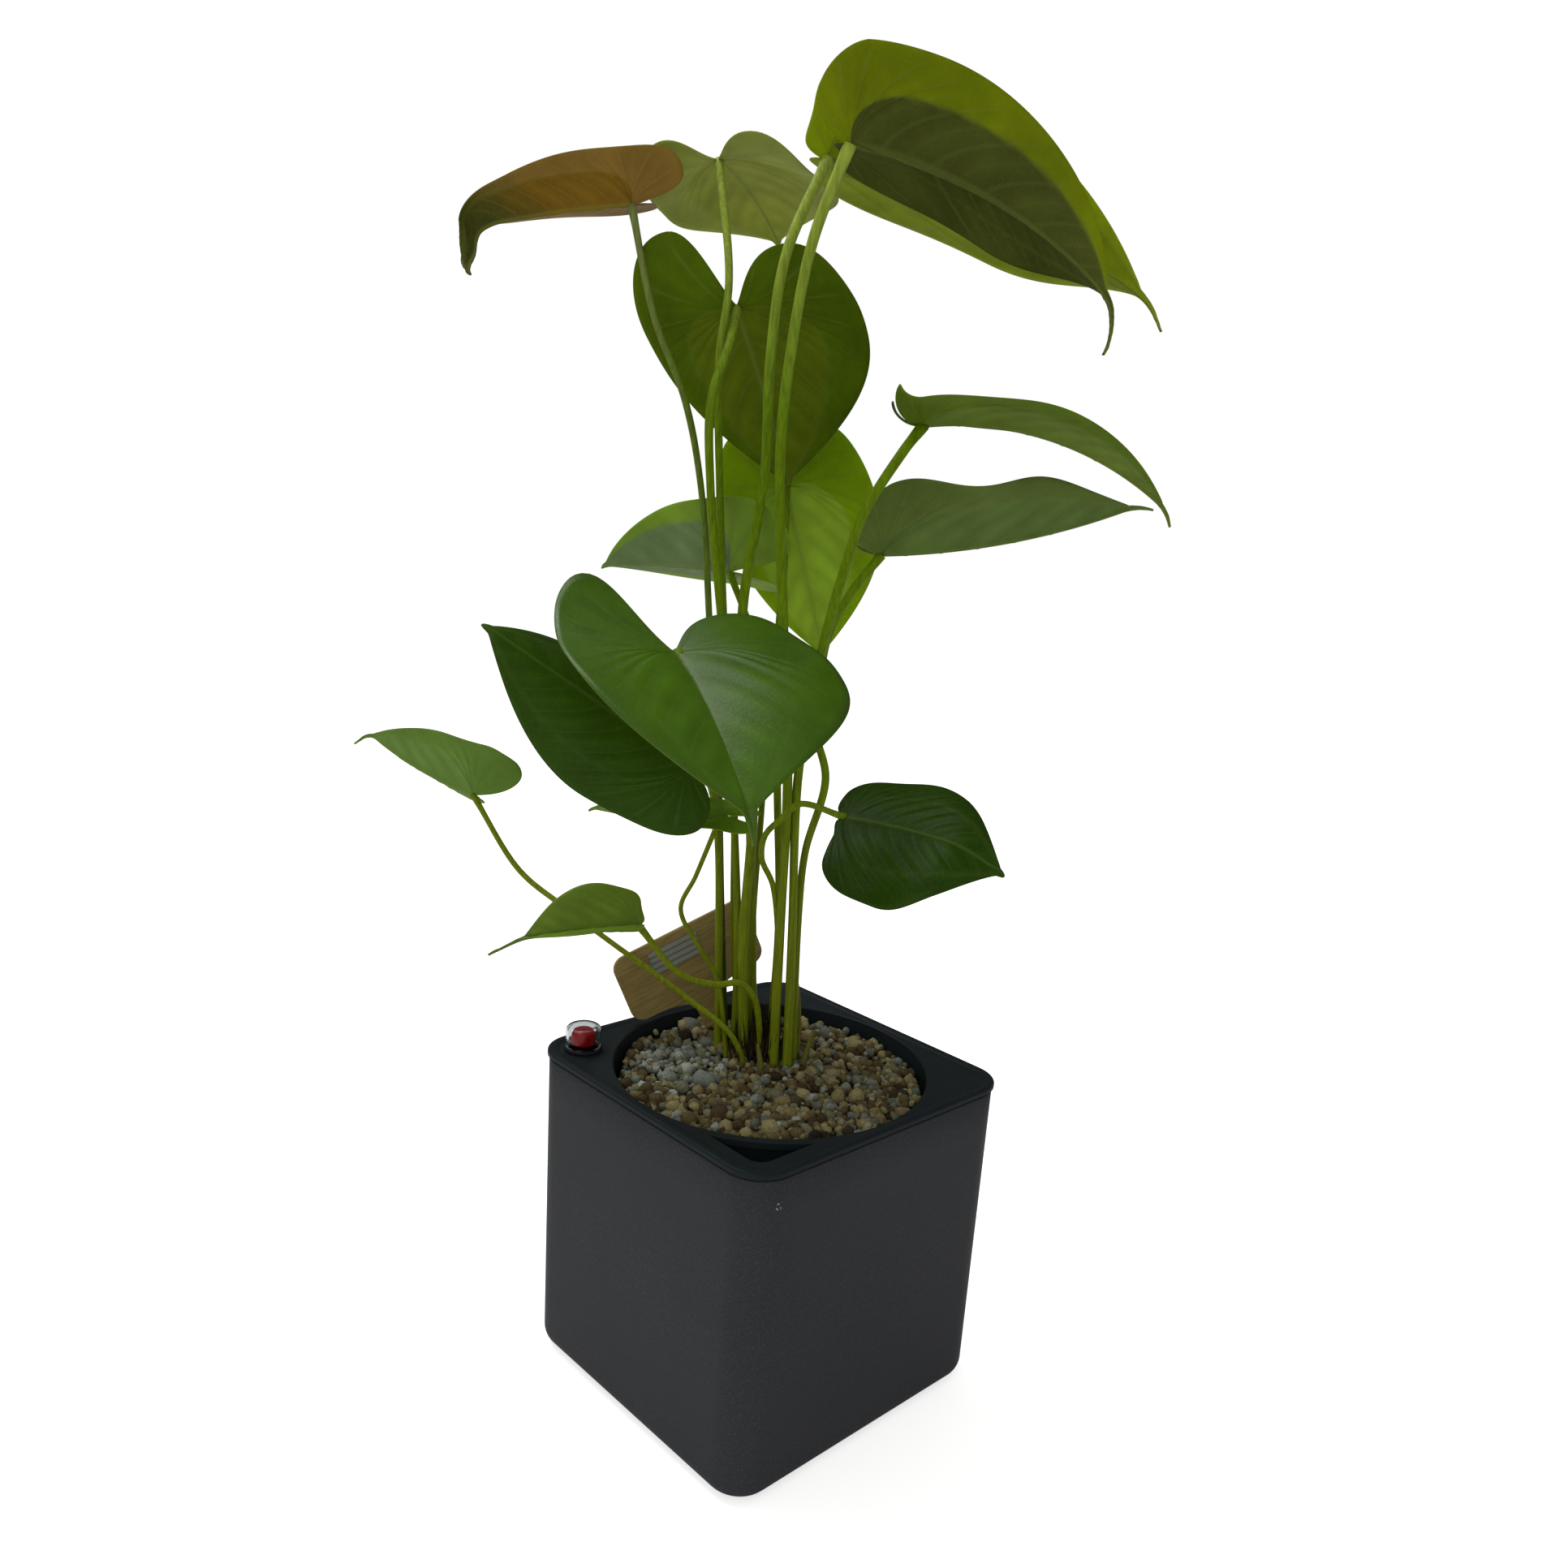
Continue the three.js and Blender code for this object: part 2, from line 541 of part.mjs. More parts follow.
// Crown sheaths and a new shoot: foot, two points on the way up, and the widest radius
const SHEATHS = {
  sheath_front: { way: [[-3, 7, PETIOLE_FOOT], [-4, 7, 124], [-6, 8, 134]], thick: 1.7 },
  sheath_right: { way: [[10, 25, PETIOLE_FOOT], [10, 24, 136], [9, 22, 156]], thick: 1.7 },
  shoot: { way: [[12, 14, PETIOLE_FOOT], [14, 13, 128], [17, 12, 140]], thick: 1.6 },
};

function stalkCurve(leaf) {
  const [[footX, footY], ...way] = leaf.stalk;
  const points = [[footX, footY, PETIOLE_FOOT], ...way, leaf.at].map((p) => new THREE.Vector3(...p));
  return new THREE.CatmullRomCurve3(points, false, 'centripetal');
}

// A petiole is thickest in its sheathed foot and thinnest near the blade
function stalkRadius(leaf) {
  return (share) => leaf.thick * (1 + 0.4 * Math.exp(-share * 14));
}

const STALK_SIDES = 6;

function stalkTube(leaf, extra = 0) {
  const curve = stalkCurve(leaf);
  const end = 1 - (STALK_JOINT + SEAT_GAP) / curve.getLength();
  const steps = Math.max(8, Math.round(curve.getLength() / 24));
  const radius = stalkRadius(leaf);
  return taperedTube(curve, (share) => radius(share) + extra, STALK_SIDES, steps, 0, end);
}

// The short joint at the top of the petiole, grown together with the blade
function stalkJoint(leaf) {
  const curve = stalkCurve(leaf);
  const from = curve.getPointAt(1 - STALK_JOINT / curve.getLength());
  const to = new THREE.Vector3(...leaf.at);
  const line = new THREE.LineCurve3(from, to.clone().addScaledVector(to.clone().sub(from).normalize(), 0.4));
  return toSolid(taperedTube(line, () => leaf.thick * 1.15, STALK_SIDES, 1));
}

function bladeGeometry(leaf) {
  const clearance = toSolid(stalkTube(leaf, CLEARANCE));
  return toGeometry(bladeSolid(leaf).subtract(clearance).add(stalkJoint(leaf)));
}

function sheathTube({ way, thick }, extra = 0) {
  const curve = new THREE.CatmullRomCurve3(way.map((p) => new THREE.Vector3(...p)));
  return taperedTube(curve, (share) => extra + thick * Math.sqrt(1.03 - share * share), STALK_SIDES, 5);
}

// Crown: the short stem that the leaves grow from, with its roots. extra widens it for its hole.
function crownSolid(extra = 0) {
  const lump = new THREE.IcosahedronGeometry(1, 1);
  lump.scale(CROWN.halfX + extra, CROWN.halfY + extra, CROWN.halfZ + extra);
  lump.translate(CROWN.x, CROWN.y, CROWN.z);
  let solid = toSolid(lump);
  const rootCount = 7;
  for (let i = 0; i < rootCount; i += 1) {
    const angle = (i / rootCount) * 2 * Math.PI + 0.4;
    const reach = i % 2 === 0 ? 15 : 24;
    const depth = i % 2 === 0 ? 62 : 44;
    const step = (share, drop) => new THREE.Vector3(
      CROWN.x + Math.cos(angle) * (10 + reach * share),
      CROWN.y * (1 - 0.8 * share) + Math.sin(angle) * (6 + reach * share),
      CROWN.z - 4 - drop,
    );
    const curve = new THREE.CatmullRomCurve3([step(0, 0), step(0.6, depth * 0.3), step(1, depth)]);
    solid = solid.add(toSolid(taperedTube(curve, (share) => extra + 2.2 - 1.1 * share, 5, 4)));
  }
  return solid;
}

function seatedParts(extra) {
  return [
    ...Object.values(LEAVES).map((leaf) => toSolid(stalkTube(leaf, extra))),
    ...Object.values(SHEATHS).map((sheath) => toSolid(sheathTube(sheath, extra))),
  ];
}

function rootstock() {
  const body = seatedParts(CLEARANCE).reduce((solid, part) => solid.subtract(part), crownSolid());
  return namedMesh('rootstock', toGeometry(body), COLOURS.crown, 0.9);
}

// A small seeded generator, so that the granules fall alike each time
function seededRandom(seed) {
  let state = seed;
  return () => {
    state = (state * 1664525 + 1013904223) % 4294967296;
    return state / 4294967296;
  };
}

// Growing medium: fills the tub, with granules over its top and holes for crown, stalks and label
function substrate() {
  const top = TUB_RADIUS_TOP - 0.6;
  const bottom = TUB_RADIUS_BOTTOM - 0.5;
  const low = TUB_FLOOR + SEAT_GAP - PLANT_ZERO;
  const slope = (TUB_RADIUS_TOP - TUB_RADIUS_BOTTOM) / (POT_HEIGHT - TUB_FLOOR);
  const rim = top - slope * (POT_HEIGHT - PLANT_ZERO - SOIL_TOP);
  let body = toSolid(revolve([[0, low], [bottom, low], [rim, SOIL_TOP], [0, SOIL_TOP]], 40));
  const random = seededRandom(7);
  const golden = Math.PI * (3 - Math.sqrt(5));
  const granules = [];
  for (let i = 0; i < GRANULE_COUNT; i += 1) {
    const size = GRANULE_RADIUS * (0.82 + 0.3 * random());
    const reach = (rim - size) * Math.sqrt((i + 0.5) / GRANULE_COUNT);
    const angle = i * golden;
    const granule = new THREE.IcosahedronGeometry(size, 0);
    granule.scale(1, 0.8 + 0.3 * random(), 0.75);
    granule.rotateX(random() * Math.PI);
    granule.rotateZ(random() * Math.PI);
    granule.translate(reach * Math.cos(angle), reach * Math.sin(angle), SOIL_TOP - 0.2 + 0.8 * random());
    granules.push(toSolid(granule));
  }
  body = granules.reduce((solid, granule) => solid.add(granule), body);
  body = body.subtract(crownSolid(CLEARANCE)).subtract(toSolid(tagGeometry(CLEARANCE)));
  body = seatedParts(CLEARANCE).reduce((solid, part) => solid.subtract(part), body);
  const pieces = body.decompose().sort((a, b) => b.volume() - a.volume());
  return namedMesh('substrate', toGeometry(pieces[0]), COLOURS.medium, 0.95);
}

// Wooden plant label: a wide head with round corners that runs down into a spike
function tagShape(extra) {
  const { width, height, corner, spikeWidth, spikeLength } = TAG;
  const half = width / 2 + extra;
  const spike = spikeWidth / 2 + extra;
  const shape = new THREE.Shape();
  shape.moveTo(-half + corner, 0);
  shape.absarc(half - corner, -corner, corner, Math.PI / 2, 0, true);
  shape.absarc(half - corner, -height + corner, corner, 0, -Math.PI / 2, true);
  shape.quadraticCurveTo(spike, -height, spike, -height - 8);
  shape.lineTo(0.6, -height - spikeLength);
  shape.lineTo(-0.6, -height - spikeLength);
  shape.lineTo(-spike, -height - 8);
  shape.quadraticCurveTo(-spike, -height, -half + corner, -height);
  shape.absarc(-half + corner, -height + corner, corner, -Math.PI / 2, -Math.PI, true);
  shape.absarc(-half + corner, -corner, corner, Math.PI, Math.PI / 2, true);
  return shape;
}

const TAG_PLACE = { x: -45, y: 37, z: 171, turn: rad(25), lean: rad(24) };

function placeTag(geometry) {
  geometry.rotateX(Math.PI / 2);
  geometry.rotateY(-TAG_PLACE.lean);
  geometry.rotateZ(TAG_PLACE.turn);
  geometry.translate(TAG_PLACE.x, TAG_PLACE.y, TAG_PLACE.z);
  return geometry;
}

function tagGeometry(extra = 0) {
  const depth = TAG.thickness + 2 * extra;
  const geometry = new THREE.ExtrudeGeometry(tagShape(extra), { depth, bevelEnabled: false, curveSegments: 5 });
  geometry.translate(0, 0, -depth / 2);
  return placeTag(geometry);
}

function plantTag() {
  return namedMesh('plant_tag', tagGeometry(), COLOURS.wood, 0.7);
}

function tagLabel() {
  const geometry = new THREE.BoxGeometry(LABEL.width, LABEL.height, LABEL.thickness);
  geometry.translate(
    -TAG.width / 2 + LABEL.fromLeft + LABEL.width / 2,
    -LABEL.fromTop - LABEL.height / 2,
    TAG.thickness / 2 + SEAT_GAP + LABEL.thickness / 2,
  );
  return namedMesh('tag_label', placeTag(geometry), COLOURS.paper, 0.6);
}

function plant() {
  const group = new THREE.Group();
  for (const [name, leaf] of Object.entries(LEAVES)) {
    const green = leaf.young ? COLOURS.youngLeaf : COLOURS.leaf;
    const label = name.replace(/[A-Z]/g, (letter) => `_${letter.toLowerCase()}`);
    group.add(namedMesh(`petiole_${label}`, stalkTube(leaf), COLOURS.stalk, 0.5));
    group.add(namedMesh(`blade_${label}`, bladeGeometry(leaf), green, 0.45));
  }
  for (const [name, sheath] of Object.entries(SHEATHS)) {
    group.add(namedMesh(name, sheathTube(sheath), COLOURS.sheath, 0.6));
  }
  group.add(rootstock());
  return group;
}

const plantGroup = new THREE.Group();
plantGroup.rotation.z = PLANT_TURN;
plantGroup.position.z = PLANT_ZERO;
plantGroup.add(plant(), substrate(), plantTag(), tagLabel());

const pottedPlant = new THREE.Group();
pottedPlant.add(outerPlanter(), liner(), indicator(), plantGroup);

export default pottedPlant;
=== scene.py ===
import math

import bmesh
import bpy
import numpy as np
from mathutils import Matrix


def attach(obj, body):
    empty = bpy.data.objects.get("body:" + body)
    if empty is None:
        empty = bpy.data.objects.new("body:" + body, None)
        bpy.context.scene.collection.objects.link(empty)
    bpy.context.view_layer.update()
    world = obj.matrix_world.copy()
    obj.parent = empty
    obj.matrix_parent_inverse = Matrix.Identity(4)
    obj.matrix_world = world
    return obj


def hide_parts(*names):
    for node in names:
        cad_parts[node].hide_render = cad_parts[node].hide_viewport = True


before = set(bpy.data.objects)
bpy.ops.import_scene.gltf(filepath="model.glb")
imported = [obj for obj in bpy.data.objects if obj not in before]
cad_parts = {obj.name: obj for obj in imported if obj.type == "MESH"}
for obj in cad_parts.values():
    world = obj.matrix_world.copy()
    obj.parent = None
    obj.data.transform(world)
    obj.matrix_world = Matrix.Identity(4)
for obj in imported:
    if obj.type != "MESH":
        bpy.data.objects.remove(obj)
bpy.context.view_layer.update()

# Outer planter. A square shell with softly rounded corners and a rounded foot, injection moulded in
# slate grey polypropylene with a fine spark-eroded grain. It is a stack of rounded square rings that
# runs from the foot up the outside, over the rim and down the inside. Sizes in millimetres.
TOP_HALF = 69.0
BASE_HALF = 67.5
POT_HEIGHT = 134.0
CORNER = 15.0
FOOT_ROUND = 8.0
SHELL_RIM = POT_HEIGHT - 3.5
SHELL_WALL = 2.2


def srgb(code):
    """Linear colour of a six-digit code: each share c becomes ((c + 0.055) / 1.055) to the power 2.4,
    or c / 12.92 where it is very dark."""
    share = np.array([int(code[i:i + 2], 16) / 255 for i in (0, 2, 4)])
    linear = np.where(share < 0.04045, share / 12.92, ((share + 0.055) / 1.055) ** 2.4)
    return (*(float(v) for v in linear), 1.0)


def rounded_square(half, z, inset=0.0):
    """A square ring of 128 points drawn in by inset: each corner is a quarter circle of 14 steps about a
    centre half - corner from both axes, and each side runs straight in 18 steps to the next corner."""
    half, corner = half - inset, CORNER - inset
    turn = np.arange(4)[:, None] * np.pi / 2
    arc = np.linspace(0, np.pi / 2, 15)[None, :] + turn
    reach = (half - corner) * math.sqrt(2)
    middle = np.stack([np.cos(turn + np.pi / 4), np.sin(turn + np.pi / 4)], -1) * reach
    arcs = middle + np.stack([np.cos(arc), np.sin(arc)], -1) * corner
    share = (np.arange(1, 18) / 18)[None, :, None]
    sides = arcs[:, -1:] * (1 - share) + np.roll(arcs, -1, 0)[:, :1] * share
    flat = np.concatenate([arcs, sides], 1).reshape(-1, 2)
    return np.c_[flat, np.full(len(flat), float(z))]


def ring_faces(rings, around, start=0, closed=True):
    """Four-cornered faces between neighbouring rings of equal counts: corner i of a ring joins corner
    i + 1 of it and the same two corners of the next ring."""
    i = np.arange(around if closed else around - 1)
    j = (i + 1) % around
    low = (np.arange(rings - 1) * around)[:, None] + start
    return np.stack([low + i, low + j, low + j + around, low + i + around], -1).reshape(-1, 4).tolist()


def capped(rings):
    """Points and faces of a closed body over a list of rings: the skin, and a flat face at each end."""
    around = len(rings[0])
    last = (len(rings) - 1) * around
    faces = ring_faces(len(rings), around)
    faces.append(list(range(around - 1, -1, -1)))
    faces.append(list(range(last, last + around)))
    return np.concatenate(rings), faces


def new_object(name, data):
    """An object that shows a mesh, a lamp or a camera in the scene."""
    made = bpy.data.objects.new(name, data)
    bpy.context.scene.collection.objects.link(made)
    return made


def add_piece(name, points, faces, *materials, sharp=None):
    """A smooth-shaded mesh from points in millimetres, with edges sharper than an angle kept hard."""
    mesh = bpy.data.meshes.new(name)
    mesh.from_pydata((np.asarray(points) * 0.001).tolist(), [], faces)
    mesh.shade_smooth()
    if sharp:
        mesh.set_sharp_from_angle(angle=math.radians(sharp))
    for material in materials:
        mesh.materials.append(material)
    piece = new_object(name, mesh)
    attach(piece, "root")
    return piece


def node(tree, kind, sockets=None, **settings):
    """A shader node with its settings, and each named socket linked to an output or given a constant."""
    made = tree.nodes.new("ShaderNode" + kind)
    for key, value in settings.items():
        setattr(made, key, value)
    for key, value in (sockets or {}).items():
        if isinstance(value, bpy.types.NodeSocket):
            tree.links.new(value, made.inputs[key])
        else:
            made.inputs[key].default_value = value
    return made


def maths(tree, operation, a, b=0.0, c=0.0):
    """The result of an arithmetic step on two or three outputs or constants."""
    return node(tree, "Math", {0: a, 1: b, 2: c}, operation=operation).outputs[0]


def mixed(tree, factor, a, b, way="MIX"):
    """A colour that goes from a to b as the factor goes from 0 to 1."""
    return node(tree, "Mix", {0: factor, 6: a, 7: b}, data_type="RGBA", blend_type=way).outputs[2]


def ramp(tree, value, stops):
    """A colour or grey looked up along a line of stops, each a place and a colour code or a number."""
    made = node(tree, "ValToRGB", {0: value})
    line = made.color_ramp.elements
    while len(line) < len(stops):
        line.new(0.5)
    for element, (place, colour) in zip(line, stops):
        element.position = place
        element.color = srgb(colour) if isinstance(colour, str) else (colour, colour, colour, 1)
    return made.outputs[0]


def noise(tree, vector, scale, detail=3.0, rough=0.5):
    """Soft random grey about 0.5, with scale features to the metre."""
    sockets = {"Vector": vector, "Scale": scale, "Detail": detail, "Roughness": rough}
    return node(tree, "TexNoise", sockets).outputs["Fac"]


def new_material(name, colour, **constants):
    """A material with one shader. Constants go onto its own sockets, with _ for each space."""
    material = bpy.data.materials.new(name)
    material.use_nodes = True
    tree = material.node_tree
    shader = tree.nodes["Principled BSDF"]
    shader.inputs["Base Color"].default_value = srgb(colour)
    material.diffuse_color = srgb(colour)
    for key, value in constants.items():
        shader.inputs[key.replace("_", " ")].default_value = value
    return material, tree, shader


def place(tree):
    """The point on the piece itself, in metres."""
    return node(tree, "TexCoord").outputs["Object"]


def bump(tree, shader, height, strength, depth):
    """Fine relief: height 1 stands depth metres over height 0."""
    made = node(tree, "Bump", {"Height": height, "Strength": strength, "Distance": depth})
    tree.links.new(made.outputs[0], shader.inputs["Normal"])


def paint(tree, shader, colour):
    """Gives the shader a worked-out colour."""
    tree.links.new(colour, shader.inputs["Base Color"])


slate, tree, shader = new_material("slate_plastic", "37383b", Specular_IOR_Level=0.1)
at = place(tree)
cloud = noise(tree, at, 22, 2)
grain = noise(tree, at, 1700, 2, 0.7)
colour = mixed(tree, cloud, srgb("2e2f32"), srgb("343538"))
speck = ramp(tree, grain, [(0.52, 0.0), (0.76, 0.42)])
colour = mixed(tree, speck, colour, srgb("5b5c60"))
scuff_middle = (0.0676, -0.0560, 0.1205)
scuff_reach = 0.0017
scuff_off = node(tree, "VectorMath", {0: at, 1: scuff_middle}, operation="DISTANCE").outputs["Value"]
near_scuff = maths(tree, "LESS_THAN", scuff_off, scuff_reach)
scratch = maths(tree, "GREATER_THAN", noise(tree, at, 1100, 1), 0.56)
colour = mixed(tree, maths(tree, "MULTIPLY", near_scuff, scratch), colour, srgb("8c8d8f"))
paint(tree, shader, colour)
tree.links.new(ramp(tree, grain, [(0.3, 0.46), (0.7, 0.62)]), shader.inputs["Roughness"])
bump(tree, shader, grain, 0.5, 0.00006)

top_half = TOP_HALF - 0.6
fillet = np.radians(np.linspace(0, 90, 11))
rings = [
    rounded_square(BASE_HALF, FOOT_ROUND * (1 - math.cos(a)), d)
    for a, d in zip(fillet, FOOT_ROUND * (1 - np.sin(fillet)))
]
for share in np.linspace(0, 1, 9)[1:]:
    half = BASE_HALF + (top_half - BASE_HALF) * share
    rings.append(rounded_square(half, FOOT_ROUND + (SHELL_RIM - 0.3 - FOOT_ROUND) * share))
rings.append(rounded_square(top_half, SHELL_RIM, 0.3))
rings.append(rounded_square(top_half, SHELL_RIM, SHELL_WALL))
rings.append(rounded_square(BASE_HALF, FOOT_ROUND, SHELL_WALL))
rings.append(rounded_square(BASE_HALF, SHELL_WALL + 0.4, FOOT_ROUND))
planter = add_piece("outer_planter_shell", *capped(rings), slate, sharp=50)
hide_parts("outer_planter")

# Liner. A near-black satin plastic insert that hangs in the shell by its square flange: the flange has
# a raised, rounded rim, a filler opening in one corner, a round hole for the level indicator in the
# next, and a round perforated tub below. It is one ring that goes from square to circle and back.
TUB_TOP = 64.0
TUB_BOTTOM = 56.0
TUB_FLOOR = 24.0
TUB_WALL = 1.8
FLANGE_LOW = POT_HEIGHT - 3.2
FLANGE_DIP = 0.8
RIM_ROUND = 1.1
INDICATOR = np.array([-77.0, -77.0]) / math.sqrt(2)


def unit(vectors):
    """Each vector divided by its own length."""
    return vectors / np.linalg.norm(vectors, axis=-1, keepdims=True)


def on_circle(radius, z):
    """The rounded square's points moved onto a circle: each keeps its direction from the middle."""
    flat = rounded_square(TOP_HALF, 0)[:, :2]
    return np.c_[unit(flat) * radius, np.full(len(flat), float(z))]


def cylinder(radius, low, high, x, y, sides=36):
    """Two rings of a round upright bar."""
    angle = np.linspace(0, 2 * np.pi, sides, endpoint=False)
    ring = np.c_[x + radius * np.cos(angle), y + radius * np.sin(angle)]
    return [np.c_[ring, np.full(sides, float(z))] for z in (low, high)]


def gathered(bodies):
    """Points and faces of several closed bodies in one mesh."""
    points, faces, count = [], [], 0
    for rings in bodies:
        some, theirs = capped(rings)
        faces += [[i + count for i in face] for face in theirs]
        points.append(some)
        count += len(some)
    return np.concatenate(points), faces


def cut(piece, bodies):
    """Takes closed bodies out of a piece, and keeps the result as its mesh."""
    cutter = add_piece("cutter", *gathered(bodies))
    step = piece.modifiers.new("cut", "BOOLEAN")
    step.object = cutter
    step.solver = "EXACT"
    done = bpy.data.meshes.new_from_object(piece.evaluated_get(bpy.context.evaluated_depsgraph_get()))
    piece.modifiers.clear()
    piece.data = done
    bpy.data.objects.remove(cutter)
    done.shade_smooth()
    done.set_sharp_from_angle(angle=math.radians(32))


near_black, tree, shader = new_material("liner_plastic", "1b1e1f", Specular_IOR_Level=0.07)
at = place(tree)
grain = noise(tree, at, 900, 3)
paint(tree, shader, mixed(tree, noise(tree, at, 60), srgb("191f21"), srgb("20272a")))
tree.links.new(ramp(tree, noise(tree, at, 120), [(0.3, 0.3), (0.7, 0.46)]), shader.inputs["Roughness"])
bump(tree, shader, grain, 0.35, 0.00005)

rings = [on_circle(12, TUB_FLOOR - TUB_WALL), on_circle(TUB_BOTTOM + TUB_WALL - 3, TUB_FLOOR - TUB_WALL)]
rings.append(on_circle(TUB_BOTTOM + TUB_WALL, TUB_FLOOR - TUB_WALL + 2))
rings.append(on_circle(TUB_TOP + TUB_WALL - 0.2, FLANGE_LOW))
rings.append(rounded_square(TOP_HALF, FLANGE_LOW, 1))
rings.append(rounded_square(TOP_HALF, FLANGE_LOW + 0.9))
for angle in np.radians(np.linspace(0, 90, 7)):
    low = RIM_ROUND * (1 - math.sin(angle))
    rings.append(rounded_square(TOP_HALF, POT_HEIGHT - low, RIM_ROUND * (1 - math.cos(angle))))
for inset, low in ((2.9, 0), (3.5, 0.25), (4.2, 0.75), (4.8, FLANGE_DIP)):
    rings.append(rounded_square(TOP_HALF, POT_HEIGHT - low, inset))
rings.append(on_circle(TUB_TOP + 0.1, POT_HEIGHT - FLANGE_DIP))
rings.append(on_circle(TUB_TOP - 0.35, POT_HEIGHT - 1.2))
rings.append(on_circle(TUB_BOTTOM, TUB_FLOOR + 2))
rings.append(on_circle(TUB_BOTTOM - 2.5, TUB_FLOOR))
rings.append(on_circle(12, TUB_FLOOR))
liner = add_piece("liner_insert", *capped(rings), near_black)

edge = TOP_HALF - 9.5
bore = TUB_TOP + TUB_WALL + 2
along = math.sqrt(bore * bore - edge * edge)
sweep = np.linspace(-math.atan2(along, edge), -math.atan2(edge, along), 24)
rounding = np.linspace(0, np.pi / 2, 9)
corner = np.c_[edge - 6 + 6 * np.sin(rounding), -edge + 6 - 6 * np.cos(rounding)]
outline = np.concatenate([np.c_[bore * np.cos(sweep), bore * np.sin(sweep)], corner])
filler = [np.c_[outline, np.full(len(outline), z)] for z in (POT_HEIGHT - 8, POT_HEIGHT + 4)]
holes = [cylinder(6.7, FLANGE_LOW - 4, POT_HEIGHT + 4, *INDICATOR)]
for angle in np.arange(8) * np.pi / 4:
    holes.append(cylinder(3.5, TUB_FLOOR - 6, TUB_FLOOR + 4, 36 * math.cos(angle), 36 * math.sin(angle), 20))
cut(liner, [filler, *holes])
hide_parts("liner")

# Water level indicator. A black guide tube hangs in the flange by its collar, a clear moulded cap sits
# on the collar, and a float with a bright red head rides inside. Each is turned from a profile.
SEAT = POT_HEIGHT - 0.5
COLLAR_TOP = SEAT + 1.2
CAP_TOP = COLLAR_TOP + 0.3 + 8.5
TUBE_FOOT = 9.0


def turned(name, profile, material, stands_for, sides=48):
    """A body of revolution: each profile pair of radius and height becomes a circle round the axis."""
    angle = np.linspace(0, 2 * np.pi, sides, endpoint=False)
    rings = []
    for radius, z in profile:
        radius = max(radius, 0.05)
        flat = np.c_[INDICATOR[0] + radius * np.cos(angle), INDICATOR[1] + radius * np.sin(angle)]
        rings.append(np.c_[flat, np.full(sides, float(z))])
    piece = add_piece(name, *capped(rings), material, sharp=45)
    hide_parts(stands_for)


turned("indicator_guide_tube", [
    (2.2, TUBE_FOOT), (6.0, TUBE_FOOT), (6.4, TUBE_FOOT + 0.4), (6.4, SEAT), (7.5, SEAT), (7.8, SEAT + 0.3),
    (7.8, COLLAR_TOP - 0.3), (7.5, COLLAR_TOP), (5.2, COLLAR_TOP), (5.2, TUBE_FOOT + 1.4),
    (2.2, TUBE_FOOT + 1.4),
], near_black, "indicator_tube")

clear, tree, shader = new_material(
    "clear_plastic", "e9eeee", Roughness=0.08, Transmission_Weight=1.0, IOR=1.25, Specular_IOR_Level=0.2)
bump(tree, shader, noise(tree, place(tree), 160, 1), 0.2, 0.0002)
bends = np.radians(np.arange(0, 91, 15))
dome = [(7.2 - 1.8 * (1 - math.cos(a)), CAP_TOP - 1.8 * (1 - math.sin(a))) for a in bends]
inner = [(6.2 - 1.4 * (1 - math.cos(a)), CAP_TOP - 1 - 1.4 * (1 - math.sin(a))) for a in bends[::-1]]
turned("indicator_clear_cap", [
    (6.2, COLLAR_TOP + 0.3), (7.2, COLLAR_TOP + 0.3), *dome, (0, CAP_TOP), (0, CAP_TOP - 1), *inner,
    (6.2, COLLAR_TOP + 0.3),
], clear, "indicator_cap")

red, tree, shader = new_material("red_float_plastic", "8e0b12", Roughness=0.4, Specular_IOR_Level=0.12)
shade = noise(tree, place(tree), 300, 2)
paint(tree, shader, mixed(tree, shade, srgb("a8000c"), srgb("c80812")))
turned("indicator_red_float", [
    (0, TUBE_FOOT + 1.7), (4.0, TUBE_FOOT + 1.7), (4.4, TUBE_FOOT + 2.1), (4.4, TUBE_FOOT + 33),
    (1.2, TUBE_FOOT + 36), (1.2, COLLAR_TOP - 1), (4.8, COLLAR_TOP + 1.5), (4.8, CAP_TOP - 3.4),
    (4.4, CAP_TOP - 2.7), (3.6, CAP_TOP - 2.2), (0, CAP_TOP - 2.2),
], red, "indicator_float")

